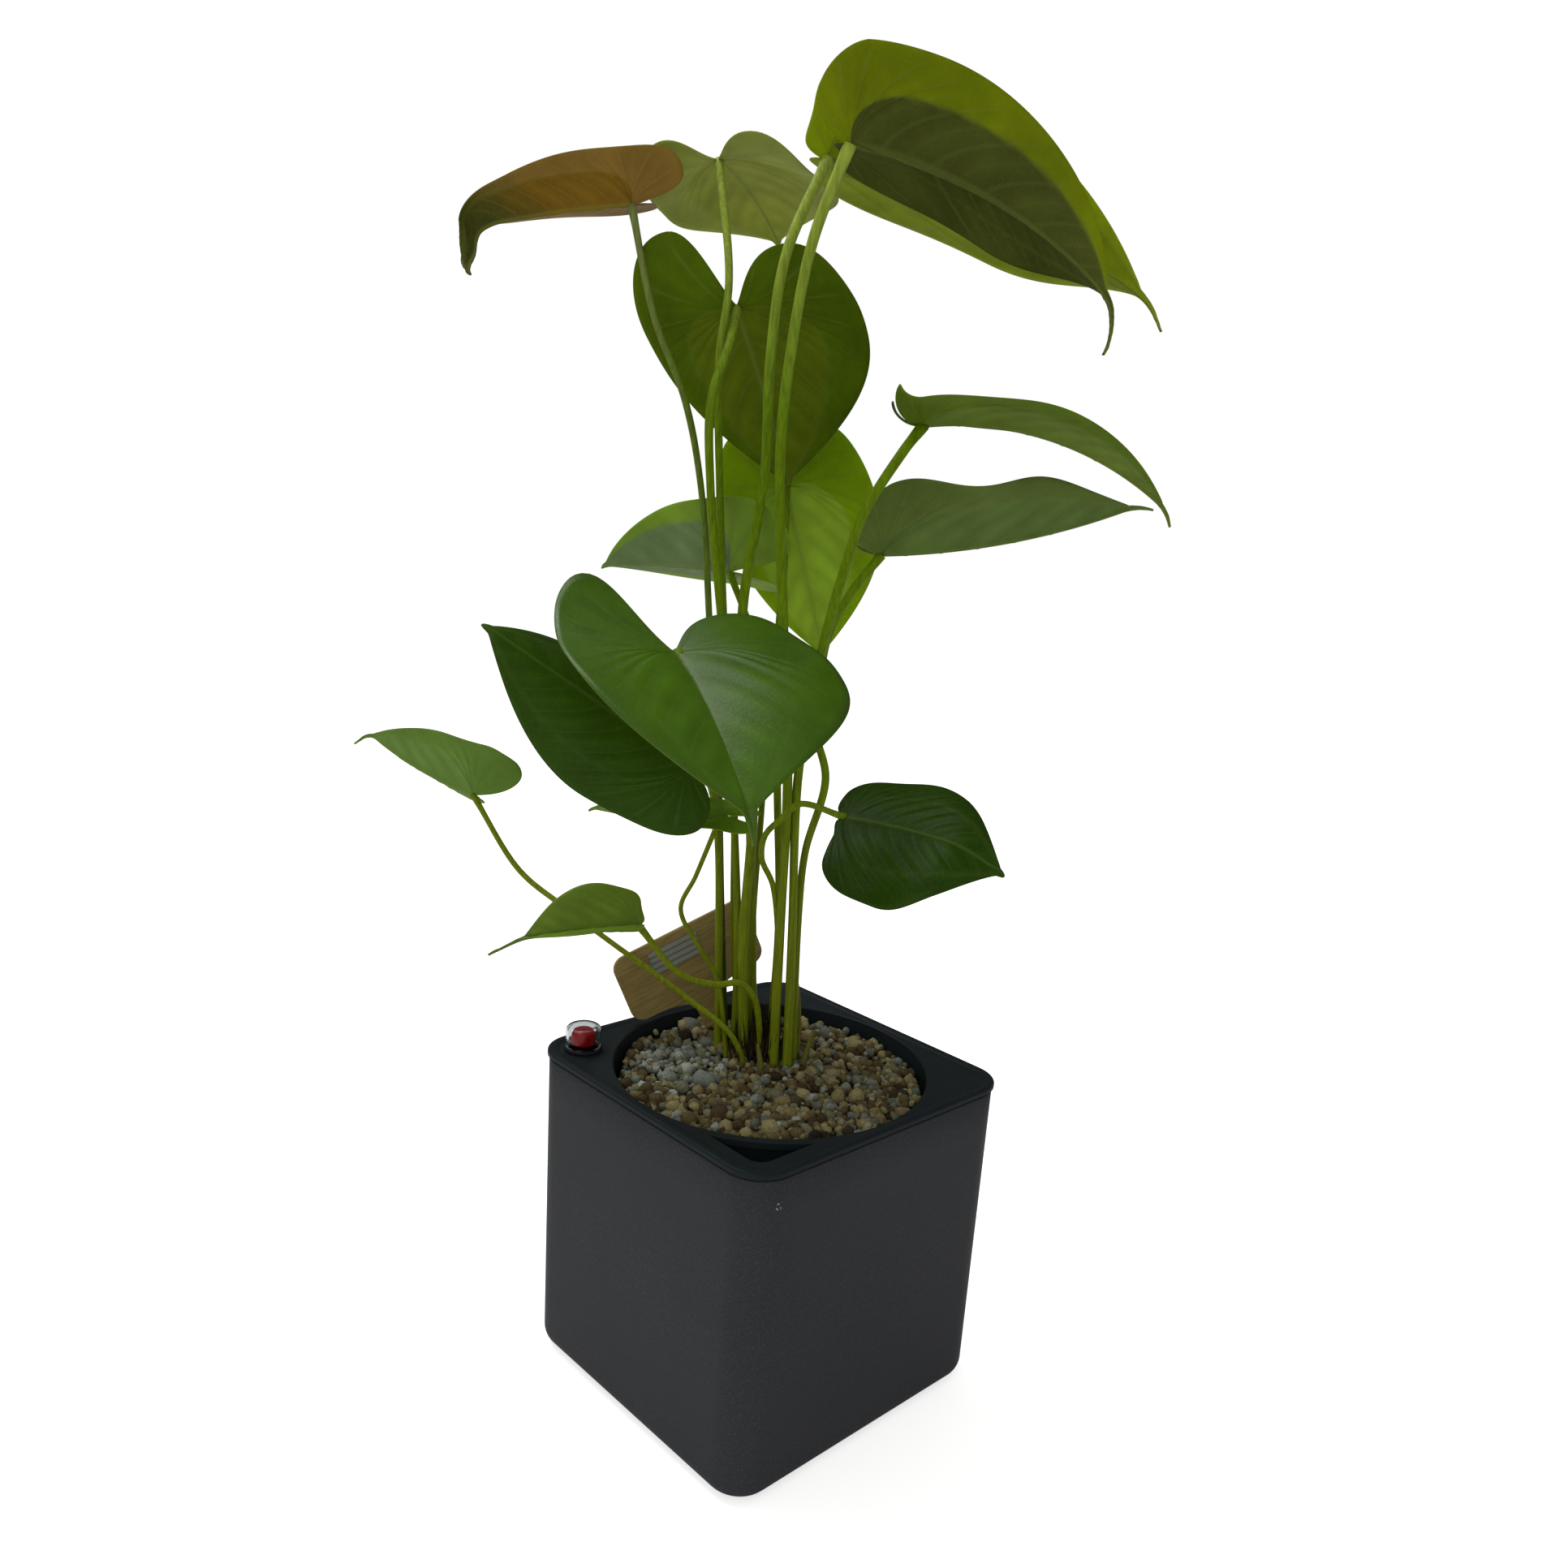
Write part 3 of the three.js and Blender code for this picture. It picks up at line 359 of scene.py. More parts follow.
# Petioles. Long round living stalks, satin green, olive towards the crown and paler under the blade, a
# little swollen in the foot and in the joint. Each is a round tube along a curve through given points;
# the two dry sheaths and the new shoot are short tapered ones.
# at: where the stalk meets the blade; tip: the blade's end before its drip tip; face: the way the
# upper side looks; pairs are the left and right half of the blade seen from above with the tip ahead.
# plain_half: the half whose margin gets no painted light; gloss: how shiny the upper side is. outer: the
# colour past the collecting vein, painted light and shade: brighter where it stands for light through
# the thin margin, darker where it stands for shade on a lobe bent away.
LEAVES = {
    # The dark under colour of this leaf inside its bright margin is the painted shadow of top_right_behind.
    "top_right": dict(
        at=(6, -30, 470), tip=(97, -25, 427), face=(0.27, 0.79, 0.55), width=(39, 65), lobe=(-0.02, 0.17),
        belly=(0.54, 0.2), lift=(0, 250), fold=39, curl=(-60, -24), droop=84, drip=0.3, dripDrop=30,
        thick=1.9,
        stalk=[(1, 13), (0, 12, 181), (-1, 6, 247), (-6, -4, 304),
            (-11, -16, 370), (-9, -24, 407), (-4, -29, 440)],
        upper="3d5410", under="454b18", outer="6c7800", plain_half=0),
    "top_right_behind": dict(
        at=(-2, 12, 475), tip=(119, 17, 434), face=(.19, .75, .63), width=(86, 68), lobe=(-0.04, 0.06),
        belly=(0.55, 0.22), fold=42, curl=(-10, -20), droop=44, drip=.12, dripDrop=40, thick=1.9,
        stalk=[(-9, 26), (-12, 26, 175), (-17, 22, 242), (-23, 12, 309),
            (-17, 0, 363), (-17, -9, 403), (-14, -9, 437)],
        upper="3d5410", under="748206", outer="829206"),
    "top_back": dict(
        at=(-44, 40, 479), tip=(-23, 109, 462), face=(-0.2, 0, 1), width=(66, 86), lobe=(.28, .28),
        belly=(.26, .26), lift=(150, 100), fold=-5, curl=(-30, -30), droop=30, thick=1.5,
        stalk=[(-13, 32), (-20, 35, 172), (-24, 36, 239), (-31, 31, 299),
            (-35, 17, 358), (-37, 9, 405), (-35, 10, 430)],
        upper="4a5e22", under="868d30", outer="8c9340"),
    "top_left_young": dict(
        at=(-72, 10, 455), tip=(-124, -15, 424), face=(-.44, .5, .75), width=(40, 50), lobe=(0.26, 0.12),
        belly=(0.05, 0.05), fold=50, curl=(-10, -20), droop=15, hook=62, thick=1.3, young=True,
        stalk=[(-20, 32), (-25, 33, 172), (-30, 30, 240), (-36, 25, 297),
            (-42, 15, 357), (-49, 9, 388), (-61, 3, 416)],
        upper="3a3a1c", under="6f5210", outer="7c5f28", gloss=0.5),
    "middle_back": dict(
        at=(-32, 20, 423), tip=(-10, 60, 360), face=(0, .7, .6), width=(74, 94), lobe=(0.42, 0.28),
        belly=(-.02, .22), lift=(70, 30), fold=0, curl=(-15, -15), droop=20, thick=1.6,
        stalk=[(-16, 25), (-18, 26, 175), (-24, 22, 242), (-30, 14, 298),
            (-37, 1, 357), (-38, -3, 388), (-33, 4, 409)],
        upper="36500c", under="566606", outer="4a6000"),
    "lower_back": dict(
        at=(-12, 85, 360), tip=(9, 92, 286), face=(0, .8, .3), width=(60, 76), lobe=(.34, .3),
        belly=(.14, .24), fold=5, curl=(-20, -20), droop=20, thick=1.6,
        stalk=[(-2, 27), (-1, 28, 176), (-6, 36, 241), (-10, 55, 292), (-10, 69, 324), (-11, 80, 346)],
        upper="3a5510", under="8baa2c", outer="7d9e04"),
    "left_back": dict(
        at=(-31, 40, 324), tip=(-93, 96, 319), face=(0, .77, .64), width=(66, 61), lobe=(0.5, 0.1),
        belly=(-.2, .2), fold=30, curl=(-10, -10), droop=10, thick=1.3,
        stalk=[(-6, 33), (-12, 36, 172), (-12, 38, 240), (-17, 38, 290)],
        upper="3c5420", under="5f7448", outer="6c8a22"),
    "right_upper": dict(
        at=(39, -15, 383), tip=(127, -20, 358), face=(.29, .09, .92), width=(60, 62), lobe=(.2, .2),
        belly=(.34, .34), lift=(450, 500), fold=14, curl=(-10, -10), droop=50, drip=.05, thick=1.8,
        stalk=[(7, 11), (5, 13, 181), (3, 8, 247), (6, 1, 280),
            (10, -12, 307), (15, -24, 332), (20, -28, 351), (32, -24, 373)],
        upper="2f4a08", under="64782a", outer="58700f"),
    "right_lower": dict(
        at=(29, 12, 336), tip=(128, 30, 360), face=(-.2, .33, .9), width=(62, 77), lobe=(.16, .12),
        belly=(.26, .26), lift=(400, 100), fold=23, curl=(0, 0), droop=-20, drip=.06, wave=3, thick=1.6,
        stalk=[(9, 18), (7, 19, 190), (8, 18, 215), (14, 16, 246),
            (8, 13, 268), (9, 13, 289), (11, 13, 304), (18, 12, 320)],
        upper="33500f", under="566b30", outer="586a2c"),
    "front": dict(
        at=(-41, -50, 300), tip=(-9, -110, 258), face=(.2, -.6, .7), width=(100, 86), lobe=(0.28, 0.57),
        belly=(.4, .12), lift=(-20, 40), fold=18, curl=(-30, -10), droop=30, drip=.1, thick=2.1,
        stalk=[(-11, 19), (-15, 18, 175), (-14, 8, 230), (-17, -8, 262), (-28, -29, 285)],
        upper="3e5e0a", under="566a1c", gloss=0.24),
    "front_left": dict(
        at=(-36, -30, 257), tip=(-110, -45, 305), face=(.42, -.67, .61), width=(62, 72), lobe=(.18, .18),
        belly=(.3, .3), fold=-18, curl=(-30, -30), droop=0, thick=1.6,
        stalk=[(-23, 25), (-26, 28, 173), (-28, 25, 211), (-30, 17, 233), (-33, 3, 247), (-36, -15, 251)],
        upper="2c4803", under="4f641a"),
    "far_left_small": dict(
        at=(-135, 40, 223), tip=(-187, 60, 241), face=(.2, .75, .62), width=(50, 38), lobe=(0.4, -0.02),
        belly=(.04, .2), lift=(100, 0), fold=25, curl=(0, 0), droop=-20, drip=.12, dripDrop=90, thick=1.2,
        stalk=[(-8, 13), (-17, 13, 134), (-36, 17, 147), (-54, 20, 158),
            (-72, 22, 169), (-92, 28, 180), (-113, 34, 193)],
        upper="3c5820", under="607c38", outer="5c7a30"),
    "lower_left_small": dict(
        at=(-54, -20, 191), tip=(-96, -35, 187), face=(.1, -.44, .9), width=(30, 34), lobe=(0.0, 0.04),
        belly=(0.26, 0.4), fold=38, curl=(0, 0), droop=10, drip=.3, dripDrop=20, thick=1.3,
        stalk=[(-5, 19), (-6, 14, 139), (-9, 9, 154), (-15, 5, 161), (-24, 1, 161), (-38, -6, 167)],
        upper="607820", under="56692c"),
    "right_dark": dict(
        at=(22, -35, 243), tip=(76, -70, 235), face=(0, -.7, .7), width=(46, 66), lobe=(.12, -.04),
        belly=(.4, .5), fold=5, curl=(-20, -20), droop=20, hook=25, thick=1.2,
        stalk=[(2, 20), (0, 18, 168), (-4, 11, 201), (-9, 2, 215),
            (-8, -3, 226), (-2, -7, 234), (4, -11, 241)],
        upper="243e02", under="4f641a"),
    "left_hidden": dict(
        at=(-25, -12, 235), tip=(-77, -8, 232), face=(0, -.2, .9), width=(26, 30), lobe=(.28, .28),
        belly=(.26, .26), fold=5, curl=(-20, -20), droop=20, thick=1.0,
        stalk=[(-18, 18), (-25, 18, 157), (-32, 15, 170), (-41, 11, 188), (-35, 4, 205)],
        upper="5a7a14", under="6c8420"),
}
STALK_FOOT = 112.0
SHEATHS = {
    "sheath_front": ([(-3, 7, STALK_FOOT), (-4, 7, 124), (-6, 8, 134)], 1.7),
    "sheath_right": ([(10, 25, STALK_FOOT), (10, 24, 136), (9, 22, 156)], 1.7),
    "shoot": ([(12, 14, STALK_FOOT), (14, 13, 128), (17, 12, 140)], 1.6),
}


def stand(points):
    """Points of the plant turned an eighth of a turn about the upright axis and lifted 4 mm."""
    x, y, z = np.moveaxis(np.asarray(points, float), -1, 0)
    return np.stack([(x - y) * math.sqrt(0.5), (x + y) * math.sqrt(0.5), z + 4], -1)


def smooth_way(points, step=2.5):
    """Even steps along a smooth curve through the points: on each stretch a cubic whose end slopes
    come from the neighbours, weighed by the square roots of the distances between points."""
    p = np.asarray(points, float)
    p = np.concatenate([[2 * p[0] - p[1]], p, [2 * p[-1] - p[-2]]])
    gap = np.sqrt(np.linalg.norm(np.diff(p, axis=0), axis=1))[:, None]
    before = (p[1:-1] - p[:-2]) / gap[:-1]
    after = (p[2:] - p[1:-1]) / gap[1:]
    slope = before - (p[2:] - p[:-2]) / (gap[:-1] + gap[1:]) + after
    a, b, wide = p[1:-2, None], p[2:-1, None], gap[1:-1, None]
    sa, sb = slope[:-1, None] * wide, slope[1:, None] * wide
    t = np.linspace(0, 1, 40, endpoint=False)[None, :, None]
    dense = a + sa * t + (3 * (b - a) - 2 * sa - sb) * t ** 2 + (2 * (a - b) + sa + sb) * t ** 3
    dense = np.concatenate([dense.reshape(-1, 3), p[-2:-1]])
    run = np.concatenate([[0], np.cumsum(np.linalg.norm(np.diff(dense, axis=0), axis=1))])
    even = np.linspace(0, run[-1], max(6, int(run[-1] / step)))
    return np.stack([np.interp(even, run, dense[:, k]) for k in range(3)], -1), even / run[-1], run[-1]


def tube(way, radius, sides=14, wobble=0.0):
    """Rings round a curve: at each point a circle of its radius across the curve's direction, pushed in
    and out by wobble times a slow wave round and along it."""
    along = unit(np.gradient(way, axis=0))
    side = unit(np.array([0, 1.0, 0]) - along * along[:, 1:2])
    other = np.cross(along, side)
    angle = np.linspace(0, 2 * np.pi, sides, endpoint=False)[None, :, None]
    wave = 1 + wobble * np.sin(2 * angle + np.arange(len(way))[:, None, None] * 0.21)
    out = (side[:, None] * np.cos(angle) + other[:, None] * np.sin(angle)) * radius[:, None, None] * wave
    return list(way[:, None] + out)


def stalk_material(name, low, middle, high, rough):
    """Living stalk: colours by height, long streaks drawn out upwards, small pale flecks."""
    material, tree, shader = new_material(name, middle, Roughness=rough, Specular_IOR_Level=0.08,
                                          Subsurface_Weight=0.15, Subsurface_Scale=0.002)
    at = place(tree)
    height = node(tree, "SeparateXYZ", {0: at}).outputs[2]
    share = node(tree, "MapRange", {"Value": height, "From Min": 0.12, "From Max": 0.5}).outputs[0]
    colour = ramp(tree, share, [(0.0, low), (0.16, low), (0.42, middle), (0.7, middle), (1.0, high)])
    drawn = node(tree, "Mapping", {"Vector": at, "Scale": (1.0, 1.0, 0.06)}).outputs[0]
    streak = ramp(tree, noise(tree, drawn, 900, 3), [(0.3, 0.55), (0.7, 1.15)])
    colour = mixed(tree, 0.7, colour, streak, "MULTIPLY")
    fleck = ramp(tree, noise(tree, at, 1400, 1), [(0.66, 0.0), (0.74, 0.35)])
    paint(tree, shader, mixed(tree, fleck, colour, srgb("93a04a")))
    bump(tree, shader, noise(tree, drawn, 1500, 2), 0.3, 0.0001)
    return material


green_stalk = stalk_material("living_stalk", "748012", "648000", "a2b24a", 0.5)
young_stalk = stalk_material("young_stalk", "44500c", "5f7420", "7d8452", 0.4)
papery = stalk_material("dry_sheath", "6b6a2c", "7d8a2a", "7d8a2a", 0.7)
STALKS = {}
for name, leaf in LEAVES.items():
    foot = (*leaf["stalk"][0], STALK_FOOT)
    way, share, length = smooth_way([foot, *leaf["stalk"][1:], leaf["at"]])
    joint = 0.22 * np.exp(-((1 - share) * length / 6) ** 2)
    swell = 1 + 0.4 * np.exp(-14 * share) + joint
    STALKS[name] = (way, leaf["thick"] * swell)
    rings = [stand(ring) for ring in tube(way, leaf["thick"] * swell, wobble=0.03)]
    skin = young_stalk if leaf.get("young") else green_stalk
    petiole = add_piece("petiole_" + name + "_stalk", *capped(rings), skin)
    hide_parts("petiole_" + name)
for name, (points, thick) in SHEATHS.items():
    way, share, length = smooth_way(points, 1.5)
    rings = [stand(ring) for ring in tube(way, thick * np.sqrt(1.03 - share ** 2), wobble=0.12)]
    sheath = add_piece(name + "_tube", *capped(rings), papery)
    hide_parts(name)

# Blades. Heart-shaped living leaves with thin drip tips: dark and glossy above, paler and matte with
# raised veins below, and one young bronze one. Each is a thin shell over a grid whose lines run along
# the veins: basal veins fan out from the stalk, side veins leave the midrib, and a vein that collects
# them runs inside the margin. Lengths along the midrib are shares of the blade's length.
BLADE_THICKNESS = 0.55
SIDE_VEINS = 9
BASAL_VEINS = 4
PER_VEIN = 12
PUFF = 0.3
ACROSS = np.linspace(0, 1, 25) ** 1.15


def cubic(points, count):
    """Points of a cubic curve: four guide points weighed (1-t)^3, 3t(1-t)^2, 3t^2(1-t) and t^3."""
    t = np.linspace(0, 1, count)[:, None]
    a, b, c, d = (np.array(p, float) for p in points)
    return a * (1 - t) ** 3 + 3 * b * t * (1 - t) ** 2 + 3 * c * t ** 2 * (1 - t) + d * t ** 3


def half_outline(lobe, belly, drip):
    """Half a heart, x in lengths and v in half widths: back round the lobe, out to the belly, in to the
    end and along the drip tip; resampled so that the lines of the grid fall on the veins."""
    taper = 0.44 * (0.96 - belly)
    parts = [
        cubic([(-.02, 0), (-.1, .1), (-lobe, .2), (-lobe, .5)], 40),
        cubic([(-lobe, .5), (-lobe, .82), (belly - .26, 1), (belly, 1)], 60)[1:],
        cubic([(belly, 1), (belly + taper, 1), (.8, .46), (.96, .06)], 90)[1:],
        cubic([(.96, .06), (.985, .04), (1 + drip * .4, .022), (1 + drip, 0)], 30)[1:],
    ]
    line = np.concatenate(parts)
    run = np.concatenate([[0], np.cumsum(np.hypot(np.diff(line[:, 0]), np.diff(line[:, 1]) * 0.4))])
    belly_run = run[98]
    order = np.arange((SIDE_VEINS + BASAL_VEINS) * PER_VEIN + 1) / PER_VEIN
    basal = np.clip(order / BASAL_VEINS, 0, 1) * belly_run
    beyond = np.clip((order - BASAL_VEINS) / SIDE_VEINS, 0, 1) * (run[-1] - belly_run)
    want = basal + beyond
    return order, np.interp(want, run, line[:, 0]), np.interp(want, run, line[:, 1])


def rib_line(x, leaf, lift):
    """The midrib seen from the side: from the stalk out to x the angle is -droop x, less the hook near
    the end and the drop of the drip tip; behind the stalk it is lift x. Its place is the sum of steps."""
    bends = (("droop", 0), ("hook", 0), ("dripDrop", 30))
    droop, hook, drop = (math.radians(leaf.get(key, usual)) for key, usual in bends)

    def angle(s):
        """How far the midrib is turned up at s."""
        hooked = np.clip((s - 0.6) / 0.16, 0, 1) ** 2
        dripped = np.clip((s - 0.93) / 0.12, 0, 1)
        return np.where(s <= 0, math.radians(lift) * s, -droop * s - hook * hooked - drop * dripped)

    middles = angle(x[..., None] * ((np.arange(32) + 0.5) / 32))
    return np.cos(middles).mean(-1) * x, np.sin(middles).mean(-1) * x, angle(x)


def blade_axes(leaf):
    """The blade's own axes and length: the chord of the bent midrib is laid from the stalk to the tip,
    and the third axis is the way the upper side faces, made square to it."""
    at, tip, up = (np.array(leaf[k], float) for k in ("at", "tip", "face"))
    px, pz, _ = (float(v) for v in rib_line(np.array(1.0), leaf, 0))
    chord = math.hypot(px, pz)
    along = tip - at
    length = np.linalg.norm(along) / chord
    along = unit(along)
    up = unit(up - along * (up @ along))
    cos, sin = px / chord, pz / chord
    return at, length, along * cos - up * sin, np.cross(up, along), along * sin + up * cos


def blade_surface(leaf, axes, half, x, v):
    """Place of points x lengths along and v half widths out: out from the midrib the half blade is an
    arc that starts at the fold angle and bends by curl; a ripple grows as the square of v."""
    at, length, ahead, left, up = axes
    side = 1 if half == 0 else -1
    wide = leaf["width"][half] / 2
    curl = math.radians(leaf["curl"][half]) or 1e-3
    fold = math.radians(leaf["fold"])
    radius = wide / curl
    turn = fold + curl * v
    y = radius * (np.sin(turn) - math.sin(fold))
    z = radius * (math.cos(fold) - np.cos(turn))
    z = z + leaf.get("wave", 0) * np.sin(3 * np.pi * x + (0 if side > 0 else 1.7)) * v ** 2
    z = z + 0.7 * np.sin(11 * x + 5 * v + leaf["thick"] * 9) * v ** 2
    if leaf.get("young"):
        z = z + 1.6 * np.sin(34 * x + 9 * v) * np.clip((x - 0.55) / 0.4, 0, 1) * (0.3 + v)
    rx, rz, slant = rib_line(x, leaf, leaf.get("lift", (0, 0))[half])
    ahead_by = (rx * length - z * np.sin(slant))[..., None]
    up_by = (rz * length + z * np.cos(slant))[..., None]
    return at + ahead * ahead_by + left * (y * side)[..., None] + up * up_by


def half_blade(leaf, axes, half):
    """Grid of one half, each line from the midrib to the outline: points, unit normals to the upper
    side, how strong a vein is, how far towards the margin, how high the veins stand and the skin swells
    between them, and whether it is past the collecting vein, where the painted light and shade changes."""
    order, ox, ov = half_outline(leaf["lobe"][half], leaf["belly"][half], leaf.get("drip", 0))
    wide = leaf["width"][half] / 2
    slide = 1.35 * wide / axes[1]
    start = np.maximum.accumulate(np.where(order < BASAL_VEINS - 0.5, 0, np.clip(ox - slide * ov, 0, None)))
    r = ACROSS[None, :]
    x = start[:, None] + (ox - start)[:, None] * r ** 1.5
    v = ov[:, None] * r
    points = blade_surface(leaf, axes, half, x, v)
    ahead = blade_surface(leaf, axes, half, x + 1e-3, v) - blade_surface(leaf, axes, half, x - 1e-3, v)
    out = blade_surface(leaf, axes, half, x, v + 1e-3) - blade_surface(leaf, axes, half, x, v - 1e-3)
    normal = unit(np.cross(ahead, out) * (1 if half == 0 else -1))
    off = np.abs(order - np.round(order))[:, None]
    number = np.round(order)[:, None]
    inside = 1 - np.clip((r - 0.82) / 0.12, 0, 1)
    kept = (number > 0) * (number < SIDE_VEINS + BASAL_VEINS - 2)
    side_vein = np.clip(1 - off * PER_VEIN, 0, 1) * inside * kept
    minor = np.clip(1 - np.abs(off - 0.5) * PER_VEIN, 0, 1) * 0.35 * inside
    span = np.linalg.norm(points[:, -1:] - points[:, :1], axis=-1)
    edge_at = 0.9 - 0.9 * np.exp(-np.clip(order[:, None] - 2.4, 0, None) / 2.8)
    collect = np.exp(-((r - edge_at) * span / 0.9) ** 2) * np.clip(order[:, None] - 2.4, 0, 1) * 0.7
    # Past the collecting vein: the mask of the painted light and shade at the margin.
    painted_light_zone = np.clip((r - edge_at) / 0.05 + 0.5, 0, 1) * (leaf.get("plain_half") != half)
    rib = np.exp(-(v * wide / (1.1 - 0.6 * np.clip(x, 0, 1))) ** 2) * (x > -0.005)
    basal = (number <= BASAL_VEINS) * 0.25
    vein = np.maximum.reduce([side_vein * (0.4 + basal), minor * 0.5, collect * 0.6, rib])
    swell = np.where(number <= BASAL_VEINS, r, 1) * np.sin(np.pi * np.clip(r / 0.9, 0, 1))
    puff = np.sin(np.pi * off) ** 2 * swell * PUFF
    relief = rib * 0.5 + side_vein * 0.14 + collect * 0.08
    rim = np.broadcast_to(r, x.shape)
    return points, normal, vein, rim, relief, puff, painted_light_zone


def set_attribute(mesh, key, values):
    """Writes one number for each point of a mesh, for its materials to read."""
    layer = mesh.attributes.new(key, "FLOAT", "POINT")
    layer.data.foreach_set("value", values.astype(np.float32))


def blade(name, leaf, materials):
    """The closed shell: both halves side by side form one grid, its upper face lies half a thickness
    over the middle surface, and its lower face as far under it with the veins standing proud."""
    axes = blade_axes(leaf)
    left, right = (half_blade(leaf, axes, k) for k in (0, 1))
    whole = [np.concatenate([b[:, :0:-1], a], 1) for a, b in zip(left, right)]
    points, normal, vein, rim, relief, puff, painted_light_zone = whole
    seam = len(ACROSS) - 1
    normal[:, seam] = left[1][:, 0] + right[1][:, 0]
    normal = unit(normal)
    thick = (BLADE_THICKNESS / 2 * (1 - 0.5 * rim ** 6))[..., None]
    upper = points + normal * (thick - 0.3 * relief[..., None] + puff[..., None])
    lower = points - normal * (thick + relief[..., None] - puff[..., None])
    rows, across = vein.shape
    count = rows * across
    up_faces = np.array(ring_faces(rows, across, closed=False))
    down_faces = up_faces[:, ::-1] + count
    i = np.arange(rows - 1) * across
    edges = [np.stack([i, i + across, i + across + count, i + count], -1)]
    j = i + across - 1
    edges.append(np.stack([j + across, j, j + count, j + across + count], -1))
    faces = np.concatenate([up_faces, down_faces, *edges])
    skin = stand(np.concatenate([upper, lower]).reshape(-1, 3))
    piece = add_piece("blade_" + name + "_leaf", skin, faces.tolist(), *materials)
    mesh = piece.data
    # Beside the veins go the mask of the painted light and shade past the collecting vein, and the swelling
    # that the skin lightens as painted sheen.
    for key, values in (("vein", vein), ("painted_light_zone", painted_light_zone), ("painted_sheen_bulge", puff / PUFF)):
        set_attribute(mesh, key, np.tile(values.ravel(), 2))
    sides = np.ones(len(faces), np.int32)
    sides[:len(up_faces)] = 0
    mesh.polygons.foreach_set("material_index", sides)
    shaped = bmesh.new()
    shaped.from_mesh(mesh)
    bmesh.ops.remove_doubles(shaped, verts=shaped.verts, dist=2e-6)
    bmesh.ops.recalc_face_normals(shaped, faces=shaped.faces)
    shaped.to_mesh(mesh)
    shaped.free()
    return piece


def leaf_material(name, inner, outer, vein, rough, gloss, glow, end=None):
    """Leaf skin: blotched colour that turns to the outer colour past the collecting vein as painted light
    and shade, paler veins, swellings between them lightened as painted sheen, a fine net, and light through
    the thin tissue. The young leaf's end is olive."""
    material, tree, shader = new_material(name, inner, Roughness=rough, Specular_IOR_Level=gloss,
                                          Subsurface_Weight=glow, Subsurface_Scale=0.0012)
    shader.inputs["Subsurface Radius"].default_value = (0.9, 1.0, 0.25)
    at = place(tree)
    veins = node(tree, "Attribute", attribute_name="vein").outputs["Fac"]
    painted_light_zone = node(tree, "Attribute", attribute_name="painted_light_zone").outputs["Fac"]
    # Painted light and shade: past the collecting vein the colour turns to the outer one.
    colour = mixed(tree, painted_light_zone, srgb(inner), srgb(outer))
    if end:
        away = node(tree, "VectorMath", {0: at, 1: end}, operation="DISTANCE").outputs["Value"]
        olive = ramp(tree, maths(tree, "MULTIPLY", away, 10.0), [(0.26, 1.0), (0.42, 0.0)])
        colour = mixed(tree, olive, colour, srgb("3f4214"))
    blotch = ramp(tree, noise(tree, at, 45, 4, 0.6), [(0.3, 0.78), (0.7, 1.22)])
    colour = mixed(tree, 0.8, colour, blotch, "MULTIPLY")
    cells = node(tree, "TexVoronoi", {"Vector": at, "Scale": 420.0}, feature="DISTANCE_TO_EDGE")
    net = cells.outputs["Distance"]
    mesh_line = ramp(tree, net, [(0.0, 1.0), (0.09, 0.0)])
    colour = mixed(tree, maths(tree, "MULTIPLY", mesh_line, 0.06), colour, srgb(vein))
    # Painted sheen: the skin is lighter on the swellings between the veins.
    painted_sheen_bulge = node(tree, "Attribute", attribute_name="painted_sheen_bulge").outputs["Fac"]
    colour = mixed(tree, 1.0, colour, ramp(tree, painted_sheen_bulge, [(0.0, 0.96), (1.0, 1.14)]), "MULTIPLY")
    colour = mixed(tree, maths(tree, "MULTIPLY", veins, 0.34), colour, srgb(vein))
    paint(tree, shader, colour)
    bump(tree, shader, maths(tree, "ADD", mesh_line, noise(tree, at, 900, 2)), 0.35, 0.00008)
    return material


for name, leaf in LEAVES.items():
    young = leaf.get("young")
    end = tuple(0.001 * stand(np.array(leaf["tip"], float))) if young else None
    above = leaf_material("upper_" + name, leaf["upper"], leaf["upper"], "7a8a2c" if young else "5f7530",
                          0.22 if young else 0.38, leaf.get("gloss", 0.1), 0.15, end)
    # The underside turns to the outer colour past the collecting vein, as painted light and shade.
    outer = leaf.get("outer", leaf["under"])
    below = leaf_material("under_" + name, leaf["under"], outer, "8a8a3a" if young else "76863c",
                          0.45 if young else 0.6, 0.06, 0.25, end)
    piece = blade(name, leaf, (above, below))
    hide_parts("blade_" + name)

# Rootstock. The short brown crown the leaves grow from, wrapped in the dark fibres of old sheaths, with
# thick roots down into the pot. A lumpy mound, seven tapered roots and a tuft of fine bent fibres.
CROWN = (-6.0, 21.0, 113.0)
CROWN_HALF = (23.0, 17.0, 11.0)
FIBRES = 260

